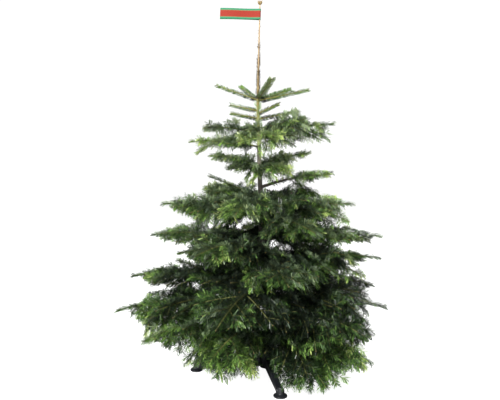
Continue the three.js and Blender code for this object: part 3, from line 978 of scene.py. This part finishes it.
thick = joined(main_rows, side_rows)
tips = thick["start"] + thick["run"] + thick["bend"]
tip_direction = unit(thick["run"] + 2 * thick["bend"])
points, faces = eggs(tips - tip_direction, tip_direction, length=6, width=4, rings=3, sides=5)
mesh_piece("shoot_buds", points, faces, BUDS, masses)

# %% [markdown]
# ## Needles
# A fir needle is a flat strip, 20 to 28 mm long and over 2 mm wide, dark and glossy above, with two
# pale lines below. The needles stand in combs at both sides of the shoot, with shorter ones over its
# top. On the highest twigs the combs are parted more widely, and on every shoot some needles stand
# all round. Each is a strip of two triangles, narrow at its root and blunt at its tip.
#
# A needle's direction is cos(lean) along the shoot plus sin(lean) outwards, where the outward
# direction is turned round the shoot from its upper side. Needles twist at their root until the
# green side faces the sky, so the width is square to both the needle and the upward direction.

# %% Needle arrays
NEEDLES_PER_MM = (2.4, 1.3, 0.95)  # on limbs, side shoots and fine shoots
NEEDLE_LENGTH, NEEDLE_WIDTH = 27, 2.9
ROOT_HALF, TIP_HALF = 0.3, 0.42  # half the width at the root and at the tip, as shares
TIP_SINKS = 0.03  # how far the tip bends towards the shoot, as a share of the length
COMB_EDGE, COMB_POWER, ROUND_POWER = 114, 2.1, 1.4  # degrees from the top, and how they crowd
LEAN_ROOT, LEAN_LESS, LEAN_SPREAD = 62, 22, 10  # degrees at the root, less at the tip, and spread
TOP_SIZE, SIDE_SIZE = 0.7, 0.3  # the length over the shoot's top, and how much more at its sides
SIZE_LEAST, SIZE_MORE = 0.88, 0.2
SKY_OUT, SKY_ABOVE, SKY_SPREAD = 0.5, 0.4, 0.4  # how far a needle's green side turns from upright
NEEDLE_FACES = np.array([(0, 3, 1), (1, 3, 2)])


def needles_on(rows, per_mm, bare_share, size_share, all_round, parting):
    """The needles' points (4 a needle), the number of each one's shoot, and its share t along it.

    outward = above cos(turn) + across sin(turn), direction = ahead cos(lean) + outward sin(lean).
    """
    length = np.linalg.norm(rows["run"], axis=1)
    count = np.maximum(3, length * (1 - bare_share) * per_mm).astype(int)
    shoot, rank = dealt_out(count)
    chance = rng.random((5, len(shoot)))
    t = bare_share[shoot] + (1 - bare_share[shoot]) * (rank + chance[0]) / count[shoot]
    root = place_on(rows, shoot, t)
    t = t[:, None]
    ahead, across, above = axes_on(rows["run"][shoot], rows["bend"][shoot], rows["facing"][shoot], t)

    hand = np.where(rank % 2, 1.0, -1.0)
    comb = COMB_EDGE - (COMB_EDGE - parting[shoot]) * chance[1] ** COMB_POWER
    around = 180 * chance[1] ** ROUND_POWER
    turn = np.radians(hand * np.where(all_round[shoot] > chance[4], around, comb))[:, None]
    outward = above * np.cos(turn) + across * np.sin(turn)
    lean = np.radians(LEAN_ROOT - LEAN_LESS * t + LEAN_SPREAD * (chance[2][:, None] - 0.5))
    direction = ahead * np.cos(lean) + outward * np.sin(lean)

    size = NEEDLE_LENGTH * (TOP_SIZE + SIDE_SIZE * np.abs(np.sin(turn)))
    size = size * (SIZE_LEAST + SIZE_MORE * chance[3][:, None]) * size_share[shoot][:, None]
    spread = SKY_SPREAD * rng.normal(size=root.shape)
    sky = UP + SKY_OUT * outward + SKY_ABOVE * above + spread
    width = unit(np.cross(sky, direction)) * NEEDLE_WIDTH
    tip = root + direction * size - above * size * TIP_SINKS
    at_root, at_tip = width * ROOT_HALF, width * TIP_HALF
    points = np.stack([root - at_root, root + at_root, tip + at_tip, tip - at_tip], 1)
    return points, shoot, t[:, 0]


# %% [markdown]
# ## The needles' colours
# Old needles near the trunk are deep green, the outer shoots are fresher, and this year's tips are
# yellow-green. The colours are dealt out by spray, with a few needles one tone up or down. The
# paler underside is the material's own work: it asks which side of the needle is seen. The deep tone
# is nearly black: partly the old needles' own dark green, partly painted shade for the crown's
# inside.


# %% Needle materials
def needle_material(name, upper, lower):
    """Glossy above, and pale below by the shader's own Backfacing."""
    material, tree, shader = new_material(name, {"Roughness": 0.38, "Specular IOR Level": 0.5})
    side = add_node(tree, "NewGeometry")
    mix = add_node(tree, "Mix", {"A": upper, "B": lower}, data_type="RGBA")
    wire(tree, (side.outputs["Backfacing"], mix.inputs["Factor"]),
         (mix.outputs["Result"], shader.inputs["Base Color"]))
    return material


TONES = [
    # Nearly black: partly the old needles' own dark green, partly painted shade for the crown's
    # inside.
    ("deep", srgb(17, 27, 15), srgb(44, 54, 44)),
    ("dark", srgb(38, 58, 28), srgb(76, 92, 70)),
    ("middle", srgb(74, 104, 48), srgb(116, 134, 102)),
    ("fresh", srgb(112, 146, 66), srgb(140, 158, 116)),
    ("tip", srgb(172, 190, 108), srgb(172, 184, 132)),
]
needle_materials = [needle_material(f"needles_{name}", upper, lower) for name, upper, lower in TONES]
print(len(needle_materials), "tones of needles")

# %% [markdown]
# ## A tone for each shoot
# A tone is a number from 0, deep, to 4, tip. On a side shoot it goes with its place on the limb, and
# each fine shoot is a little fresher than its parent. On top of that comes painted shade and light:
# the tones are pulled deepest from 0.3 to 0.5 m up, where the lower crown lies in shade, and lifted
# high up, where the light falls, and a few limbs that stand in shade or in light have a painted
# shift of their own.

# %% Tones of the shoots
# Painted shade and light by height: tones lowered where the lower crown is shaded, raised high up
# where it is lit.
LIGHT_SHADE_HEIGHTS = (160, 240, 320, 420, 500, 700, 1000)
PAINTED_LIGHT_AT_HEIGHT = (0.0, 0.0, -0.9, -1.2, -0.9, -0.25, 0.9)
# Painted shade and light by limb: minus for limbs in shade, plus for limbs in light.
PAINTED_LIGHT_SHIFT = dict(
    lowest_mass_right=-0.9,
    lowest_mass_front_right=-0.9,
    fifth_mass_front=-0.7,
    fifth_mass_right=-0.5,
    lowest_mass_front_left=-0.25,
    fourth_mass_front=-0.45,
    top_twig_front_right=1.2,
    upper_mass_right=-0.8,
    single_right=-1.0,
    shoulder_mass_right=-0.35,
)
TWIG_TONE, LIMB_TONE = 0.8, 1.6
SIDE_TONE, SIDE_OUTWARDS, SIDE_SPREAD = 0.3, 2.1, 0.55  # at the root, more at the tip, and spread
FINE_FRESHER, FINE_SPREAD = 0.8, 0.5
shoot_counts = (len(limbs), len(side_table), 2 * fine_count)


def by_order(*values):
    """One value a shoot, from a number or an array for limbs, side shoots and fine shoots."""
    return np.concatenate([
        np.broadcast_to(value, count) for value, count in zip(values, shoot_counts)
    ])


side_tone = SIDE_TONE + SIDE_OUTWARDS * side_share + rng.normal(0, SIDE_SPREAD, len(side_table))
fine_tone = np.concatenate([side_tone[parent] + FINE_FRESHER * place_on_side] * 2)
fine_tone += rng.normal(0, FINE_SPREAD, len(fine_tone))
tone_all = by_order(np.where(is_twig, TWIG_TONE, LIMB_TONE), side_tone, fine_tone)
# Painted shade and light, by limb and by height.
tone_all += np.array([PAINTED_LIGHT_SHIFT.get(name, 0) for name in masses])[rows_all["limb"]]
tone_all += np.interp(rows_all["start"][:, 2], LIGHT_SHADE_HEIGHTS, PAINTED_LIGHT_AT_HEIGHT)
print("tones of the shoots: mean", tone_all.mean().round(2), "spread", tone_all.std().round(2))

# %% [markdown]
# ## Needles on all shoots
# Limbs are bare near the trunk. The needles of slim twigs are shorter. Along a shoot the tone rises
# by 1.4 from root to tip, and a random part sets single needles off from their neighbours. Near a
# twig's root the needles get the deep tone as painted shade, where the crowded needles shade each
# other.

# %% All needles of the crown
SLIM_TWIGS = dict(
    top_twig_left=0.6,
    top_twig_right=0.62,
    top_twig_back_left=0.68,
    spur_twig_left=0.62,
    spur_twig_front_right=0.62,
    spur_twig_lower_left=0.6,
    spur_twig_lower_right=0.6,
)
SHADED_ROOT_SHARE, ROOT_SHADE = 0.17, -3.0  # share of a twig near its root, and the tone drop there: painted shade where crowded needles shade it
SIDE_BARE, FINE_BARE = 0.05, 0.0  # shares of a shoot without needles
TIP_FRESHER, NEEDLE_SPREAD = 1.4, 0.65
PARTED, USUAL_PARTING = 45, 12  # degrees free of needles on each side of a shoot's top
TWIG_ROUND, LIMB_ROUND, SIDE_ROUND, FINE_ROUND = 0.1, 0.4, 0.2, 0.1  # shares that stand all round
LONG_BARE = 0.15  # the share without needles of a limb with a long bough
MORE_BARE = 0.1  # how much more of any other limb than its bough is without needles
needle_size = np.array([SLIM_TWIGS.get(limb["name"], limb["kind"]["needle"]) for limb in limbs])
bare = np.array([limb["bare"] for limb in limbs])
bare_limb = np.where(bare > LONG_BOUGH, LONG_BARE, bare + MORE_BARE)
bare_main = np.where(is_twig, TWIG_BARE, bare_limb)
points_of, shoot_of, along_of = needles_on(
    rows_all,
    per_mm=by_order(*NEEDLES_PER_MM),
    bare_share=by_order(bare_main, SIDE_BARE, FINE_BARE),
    size_share=needle_size[rows_all["limb"]],
    all_round=by_order(np.where(is_twig, TWIG_ROUND, LIMB_ROUND), SIDE_ROUND, FINE_ROUND),
    parting=by_order(np.where(is_young, PARTED, USUAL_PARTING), USUAL_PARTING, USUAL_PARTING),
)
shift = rng.normal(0, NEEDLE_SPREAD, len(shoot_of))
limb_of = rows_all["limb"][shoot_of]
# Painted shade: needles near a twig's root are set deep, where the crowded needles shade each other.
painted_root_shade = np.where(is_twig[limb_of] & (along_of < SHADED_ROOT_SHARE), ROOT_SHADE, 0.0)
tone_of = tone_all[shoot_of] + TIP_FRESHER * (along_of - 0.5) + painted_root_shade
tone_of = np.clip(np.round(tone_of + shift), 0, 4).astype(int)
print(len(points_of), "needles, by tone:", np.bincount(tone_of))

# %% [markdown]
# ## Needle pieces
# The needles are joined by storey of the crown and by tone, so that no piece has more than 200,000
# triangles. Each piece stands for all the masses of its storey.

# %% Join by storey and tone
STOREYS = [
    ("top", ("top_twig", "spur_twig", "upper_mass", "middle_mass", "single")),
    ("shoulder", ("shoulder_mass", "first_mass")),
    ("upper_middle", ("second_mass", "third_mass")),
    ("lower_middle", ("fourth_mass",)),
    ("bottom", ("fifth_mass", "lowest_mass")),
]


def needle_piece(name, points, material, replaced):
    """One piece from needles of four points each."""
    faces = (NEEDLE_FACES[None] + 4 * np.arange(len(points))[:, None, None]).reshape(-1, 3)
    mesh_piece(name, points.reshape(-1, 3) * MM, faces, material, replaced, smooth=False)


for storey, whorls in STOREYS:
    members = [number for number, name in enumerate(masses) if name.startswith(whorls)]
    for tone, (tone_name, _, _) in enumerate(TONES):
        chosen = np.isin(limb_of, members) & (tone_of == tone)
        if chosen.any():
            needle_piece(f"needles_{storey}_{tone_name}", points_of[chosen], needle_materials[tone],
                         [masses[number] for number in members])

# %% [markdown]
# ## Needles on the trunk's young wood
# The trunk's own youngest two years carry needles too. Those between the upper whorls are pressed
# forwards and yellow-green. On the leader they are short and brownish, and sparser from one stretch
# to the next, with a last stretch that is nearly bare. The same needle rule lays them on straight
# shoots that run up the trunk's axis, and then they are moved out to its bark.


# %% Trunk needles
def axis_shoot(low, high):
    """A straight shoot up the trunk's axis between two heights."""
    ends = np.array([[along_trunk(z, 1), 0.0, z] for z in (low, high)])
    return dict(start=ends[[0]], run=ends[[1]] - ends[[0]], bend=np.zeros((1, 3)),
                facing=np.array([[0.0, -1.0, 0.0]]), radius=np.ones(1), limb=np.zeros(1, dtype=int))


def trunk_needles(stretches, distance):
    """Needles all round stretches of the trunk, moved away from its axis by a distance in mm."""
    everywhere, nowhere = np.ones(1), np.zeros(1)
    points = np.concatenate([
        needles_on(axis_shoot(low, high), per_mm, nowhere, np.array([size]), everywhere, nowhere)[0]
        for low, high, per_mm, size in stretches
    ])
    away = points[:, 2] - points[:, 1]
    away[:, 2] = 0
    return points + (unit(away) * distance)[:, None]


YOUNG_STRETCH = [(1070, 1286, 1.1, 0.6)]  # from, to, needles a mm and their size share
LEADER_STRETCHES = [
    (1296, 1420, 2.0, 0.46), (1400, 1480, 1.3, 0.42),
    (1480, 1555, 0.8, 0.36), (1540, 1670, 0.16, 0.25),
]
fresh = needle_materials[3]  # the tone of that name
points = trunk_needles(YOUNG_STRETCH, 6.5)
needle_piece("needles_young_trunk", points, fresh, ["trunk"])
brownish = needle_material("leader_needles", srgb(46, 36, 16), srgb(64, 54, 30))
points = trunk_needles(LEADER_STRETCHES, 2.4)
needle_piece("needles_leader", points, brownish, ["trunk"])

# %% [markdown]
# ## Ribbon flag
# A strip of ribbon goes once round the leader, and its two ends are stuck together as a flag. The
# two plies don't quite match, so the lower edge shows a step. Its surface is a loop of points: out
# along the front ply, round the leader and back along the rear ply. The loop has a thickness, and
# it's carried from the lower to the upper edge. Stripes run along it in its own UV map.

# %% Ribbon line and faces
# In mm, with the tilt in degrees: loop is the loop's radius, gap the plies' distance at the far
# end, and wave the depth of the flag's wave, with a number of half waves over its length.
FLAG = dict(height=50, length=189, middle=1692, tilt=2.5, loop=5.0, gap=0.9,
            wave=1.6, half_waves=2.2)
CLOSING = 6  # the plies close up from the loop with this power of the way
PLY_SLIP = 3.2  # how much lower the rear ply's far end hangs, in mm


def flag_line(count):
    """Points of the ribbon's middle line seen from above: front ply, round the leader, rear ply."""
    out = np.linspace(1, 0, count)
    wave = FLAG["wave"] * np.sin(FLAG["half_waves"] * np.pi * out) * out
    x = -FLAG["length"] * out
    aside = FLAG["loop"] * (1 - out) ** CLOSING
    front = np.stack([x, -FLAG["gap"] / 2 * out - aside + wave], 1)
    rear = np.stack([x, FLAG["gap"] / 2 * out + aside + wave], 1)[::-1]
    angle = np.linspace(-np.pi / 2, np.pi / 2, 18)[1:-1]
    around = FLAG["loop"] * np.stack([np.cos(angle), np.sin(angle)], 1)
    return np.concatenate([front, around, rear])


def ribbon_points(count, rows, thick):
    """Grids of the ribbon's outer and inner faces: the line moved half a thickness to each side."""
    line = flag_line(count)
    along = unit(np.gradient(line, axis=0))
    side = np.stack([along[:, 1], -along[:, 0]], 1) * thick / 2
    up = np.linspace(-0.5, 0.5, rows) * FLAG["height"]
    slips = (0, 0, -PLY_SLIP / 2, -PLY_SLIP)
    slip = np.interp(np.arange(len(line)), (0, count, len(line) - count, len(line) - 1), slips)
    faces = []
    for flat in (line + side, line - side):
        grid = np.zeros((len(line), rows, 3))
        grid[..., 0], grid[..., 1] = flat[:, None, 0], flat[:, None, 1]
        grid[..., 2] = up + slip[:, None]
        faces.append(grid)
    return faces


def turned_flag(points):
    """The flag tilted about +Y and moved to the leader."""
    angle = math.radians(FLAG["tilt"])
    x, y, z = points.T
    ahead = x * math.cos(angle) + z * math.sin(angle)
    above = z * math.cos(angle) - x * math.sin(angle)
    middle = np.array([along_trunk(FLAG["middle"], 1), 0, FLAG["middle"]])
    return np.stack([ahead, y, above], 1) + middle


def closed_strip_faces(long, wide):
    """Triangles of a thin closed strip: outer grid, inner grid and the four edges between them."""
    index = np.arange(long * wide).reshape(long, wide)
    inner = index + long * wide

    def quads(a, b, c, d):
        """Two triangles for each square with the corners a, b, c and d."""
        a, b, c, d = (corner.ravel() for corner in (a, b, c, d))
        return np.concatenate([np.stack([a, b, c], 1), np.stack([a, c, d], 1)])

    return np.concatenate([
        quads(index[:-1, :-1], index[1:, :-1], index[1:, 1:], index[:-1, 1:]),
        quads(inner[:-1, :-1], inner[:-1, 1:], inner[1:, 1:], inner[1:, :-1]),
        quads(index[:-1, 0], inner[:-1, 0], inner[1:, 0], index[1:, 0]),
        quads(index[:-1, -1], index[1:, -1], inner[1:, -1], inner[:-1, -1]),
        quads(index[0, :-1], index[0, 1:], inner[0, 1:], inner[0, :-1]),
        quads(index[-1, :-1], inner[-1, :-1], inner[-1, 1:], index[-1, 1:]),
    ])


# %% Ribbon material
def ribbon_material():
    """Stripes across the UV map: green edges, a thin tan line at each, and a plain red band."""
    values = {"Roughness": 0.65, "Specular IOR Level": 0.2}
    material, tree, shader = new_material("striped_ribbon", values)
    place, split = add_node(tree, "UVMap"), add_node(tree, "SeparateXYZ")
    green, tan, red = srgb(44, 116, 82), srgb(118, 98, 60), srgb(130, 32, 14)
    stops = [(0.0, green), (0.17, tan), (0.21, red), (0.79, tan), (0.83, green)]
    stripes = colour_ramp(tree, stops, "CONSTANT")
    rib = add_node(tree, "TexWave", {"Scale": 60, "Distortion": 0.6})
    wire(
        tree,
        (place.outputs["UV"], split.inputs[0]),
        (split.outputs["Y"], stripes.inputs["Fac"]),
        (stripes.outputs["Color"], shader.inputs["Base Color"]),
        (place.outputs["UV"], rib.inputs["Vector"]),
    )
    add_bump(tree, shader, rib.outputs["Fac"], 0.15, 0.0002)
    return material


# %% Ribbon piece
FLAG_COUNT, FLAG_ROWS, FLAG_THICK = 80, 14, 0.45
LOOP_WIDTHS = 8  # the loop's length in ribbon widths, so that its map isn't stretched
outer, inner = ribbon_points(FLAG_COUNT, FLAG_ROWS, FLAG_THICK)
long = outer.shape[0]
flag_points = turned_flag(np.concatenate([outer.reshape(-1, 3), inner.reshape(-1, 3)]))
flag_faces = closed_strip_faces(long, FLAG_ROWS)
ribbon = mesh_piece("ribbon", flag_points * MM, flag_faces, ribbon_material(),
                    ["ribbon_label"])
around, up = np.linspace(0, LOOP_WIDTHS, long), np.linspace(0, 1, FLAG_ROWS)
uv_of_points = np.tile(np.stack(np.meshgrid(around, up, indexing="ij"), -1).reshape(-1, 2), (2, 1))
uv_map = ribbon.data.uv_layers.new(name="stripes")
uv_map.uv.foreach_set("vector", uv_of_points[flag_faces.ravel()].astype(np.float32).ravel())

# %% [markdown]
# ## Stand
# The stand is moulded from black plastic: a cup for the trunk and four legs that hook onto it. Each
# leg slopes down to a disc foot. The cup and the feet are profiles turned round an axis. A leg is a
# rounded rectangle carried outwards, whose height follows the leg's outline.


# %% Turned and carried profiles
LEG_REACH = 336  # from the stand's axis to the toe and the foot's centre, in mm
LEG_START, LEG_SOLE = 32.4, 7.2
SQUARENESS = 7  # n in |u|^n + |v|^n = 1, an almost square section
GROOVE = 1.8  # depth of the groove along a leg's top, in mm


def turned_profile(profile, sides, centre=(0, 0), ribs=0, rib_depth=0.0):
    """A profile of (radius, height, ribbed) turned round the vertical axis.

    Where ribbed is 1, its radius is waved by ribs of a depth, narrow ones with flats between.
    """
    radius, height, ribbed = np.array(profile, dtype=float).T[:, :, None]
    angle = np.linspace(0, 2 * np.pi, sides, endpoint=False)
    radius = radius + rib_depth * ribbed * np.clip(np.cos(ribs * angle) * 3 - 2, 0, 1)
    ring = np.stack([radius * np.cos(angle) + centre[0], radius * np.sin(angle) + centre[1],
                     np.repeat(height, sides, 1)], -1)
    ends = np.array([[*centre, height[0, 0]], [*centre, height[-1, 0]]])
    return closed_tubes(ring[None], ends[None])


def signed_power(values, power):
    """Each value's size raised to a power, with its sign kept."""
    return np.sign(values) * np.abs(values) ** power


def leg_surface(azimuth, rings=64, sides=32):
    """Rounded rectangles (|u|^n + |v|^n = 1) from the hub to the toe, turned to the azimuth."""
    out = np.linspace(LEG_START, LEG_REACH, rings)
    top = np.interp(out, (32, 45, 52, 306, LEG_REACH), (95, 94, 58, 30, 29))
    half_width = np.interp(out, (32, 46, 60, 300, LEG_REACH), (18, 18, 15.5, 14, 17.8))
    angle = np.linspace(0, 2 * np.pi, sides, endpoint=False)
    u = signed_power(np.cos(angle), 2 / SQUARENESS)
    v = signed_power(np.sin(angle), 2 / SQUARENESS)
    y = half_width[:, None] * u
    z = (top + LEG_SOLE)[:, None] / 2 + (top - LEG_SOLE)[:, None] / 2 * v
    z = z - np.clip(1 - np.abs(u) * 1.6, 0, 1) * GROOVE * (v > 0.5)
    x = np.repeat(out[:, None], sides, 1)
    turn = math.radians(azimuth)
    cos, sin = math.cos(turn), math.sin(turn)
    surface = np.stack([x * cos - y * sin, x * sin + y * cos, z], -1)
    ends = np.array([[out[0] * cos, out[0] * sin, 50], [out[-1] * cos, out[-1] * sin, 18]])
    return closed_tubes(surface[None], ends[None])


# %% Cup, legs and feet
BLACK = spotted_material("black_plastic", (0.006, 0.007, 0.009, 1), (0.012, 0.013, 0.016, 1),
                         900, 0.36, grain=0.0003)
HUB_PROFILE = [
    (27, 8, 0), (27, 116, 0), (30, 129, 0), (31, 130, 0), (34, 130, 0), (35, 129, 0), (35, 119, 0),
    (34, 118, 0), (32, 115, 1), (32, 70, 1), (32, 3, 1), (31, 0.6, 0), (29.5, 0, 0),
]
FOOT_PROFILE = [(radius, height, 0) for radius, height in (
    (27, 0), (29, 0.4), (29.5, 1.5), (29.5, 5), (28.8, 6), (26.5, 6.6), (22, 8), (16, 10.4),
    (12.6, 12.4), (12, 14), (12, 38.4), (11.2, 39.8), (9, 40), (8.6, 38.6), (7.6, 38.4),
)]
points, faces = turned_profile(HUB_PROFILE[::-1], 96, ribs=12, rib_depth=-1.2)
mesh_piece("stand_cup", points, faces, BLACK, ["stand_hub"])
for side, azimuth in (("right", 10), ("back", 100), ("left", 190), ("front", 280)):
    turn = math.radians(azimuth)
    foot_centre = (LEG_REACH * math.cos(turn), LEG_REACH * math.sin(turn))
    leg_points, leg_faces = leg_surface(azimuth)
    foot_points, foot_faces = turned_profile(FOOT_PROFILE, 48, foot_centre)
    points = np.concatenate([leg_points, foot_points])
    faces = np.concatenate([leg_faces, foot_faces + len(leg_points)])
    mesh_piece(f"stand_{side}_arm_and_foot", points, faces, BLACK,
               [f"stand_leg_{side}"])

# %% [markdown]
# ## Light and floor
# The main light stands over the viewer's left shoulder, a broad weak one fills in from low in front,
# and one behind the tree lights its edges. The camera sees a white background and a white floor, but
# to the tree they give only a weak light from all round: both ask the light path whether it is the
# camera that looks at them.

# %% Floor
FLOOR_GLOW = 0.95
HALF_FLOOR = 80  # m
corners = [(x * HALF_FLOOR, y * HALF_FLOOR, 0) for x, y in ((-1, -1), (1, -1), (1, 1), (-1, 1))]
floor_mesh = bpy.data.meshes.new("floor")
floor_mesh.from_pydata(corners, [], [(0, 1, 2, 3)])
floor = bpy.data.objects.new("floor", floor_mesh)
floor_values = {"Base Color": (0.4, 0.4, 0.4, 1), "Roughness": 0.9, "Emission Color": (1, 1, 1, 1)}
floor_material, floor_tree, floor_shader = new_material("floor", floor_values)
sight = add_node(floor_tree, "LightPath")
glow = add_node(floor_tree, "Math", {1: FLOOR_GLOW}, operation="MULTIPLY")
wire(floor_tree, (sight.outputs["Is Camera Ray"], glow.inputs[0]),
     (glow.outputs[0], floor_shader.inputs["Emission Strength"]))
floor_mesh.materials.append(floor_material)
bpy.context.scene.collection.objects.link(floor)
print("the floor is", 2 * HALF_FLOOR, "m wide")

# %% World
AMBIENT, BACKGROUND = 0.25, 1.06  # the world's strength for the tree, and for the camera
world = bpy.data.worlds.new("studio")
world.use_nodes = True
sky_tree = world.node_tree
sky_shader = sky_tree.nodes["Background"]
sky_shader.inputs["Color"].default_value = (1, 1, 1, 1)
sight = add_node(sky_tree, "LightPath")
strength = add_node(sky_tree, "MapRange", {"To Min": AMBIENT, "To Max": BACKGROUND})
wire(sky_tree, (sight.outputs["Is Camera Ray"], strength.inputs["Value"]),
     (strength.outputs["Result"], sky_shader.inputs["Strength"]))
bpy.context.scene.world = world
bpy.context.scene.view_settings.view_transform = "Standard"
print("the world gives", AMBIENT, "to the tree and", BACKGROUND, "to the camera")


# %% Lights
def add_light(name, place, aim, size, power):
    """A square soft light that looks from one point at another."""
    data = bpy.data.lights.new(name, "AREA")
    data.size, data.energy = size, power
    light = bpy.data.objects.new(name, data)
    light.location = place
    back = np.array(place, dtype=float) - np.array(aim, dtype=float)
    azimuth = math.atan2(back[0], -back[1])
    elevation = math.atan2(back[2], math.hypot(back[0], back[1]))
    light.rotation_euler = (math.pi / 2 - elevation, 0, azimuth)
    bpy.context.scene.collection.objects.link(light)
    print("light", name, "of", power, "W at", place)


add_light("key", (-2.8, -5.9, 4.6), (0, 0, 0.8), 1.0, 1150)
add_light("fill", (0.8, -6.2, 1.7), (0, 0, 0.5), 2.6, 130)
add_light("back", (1.5, 6.0, 5.0), (0, 0, 0.8), 2.6, 500)
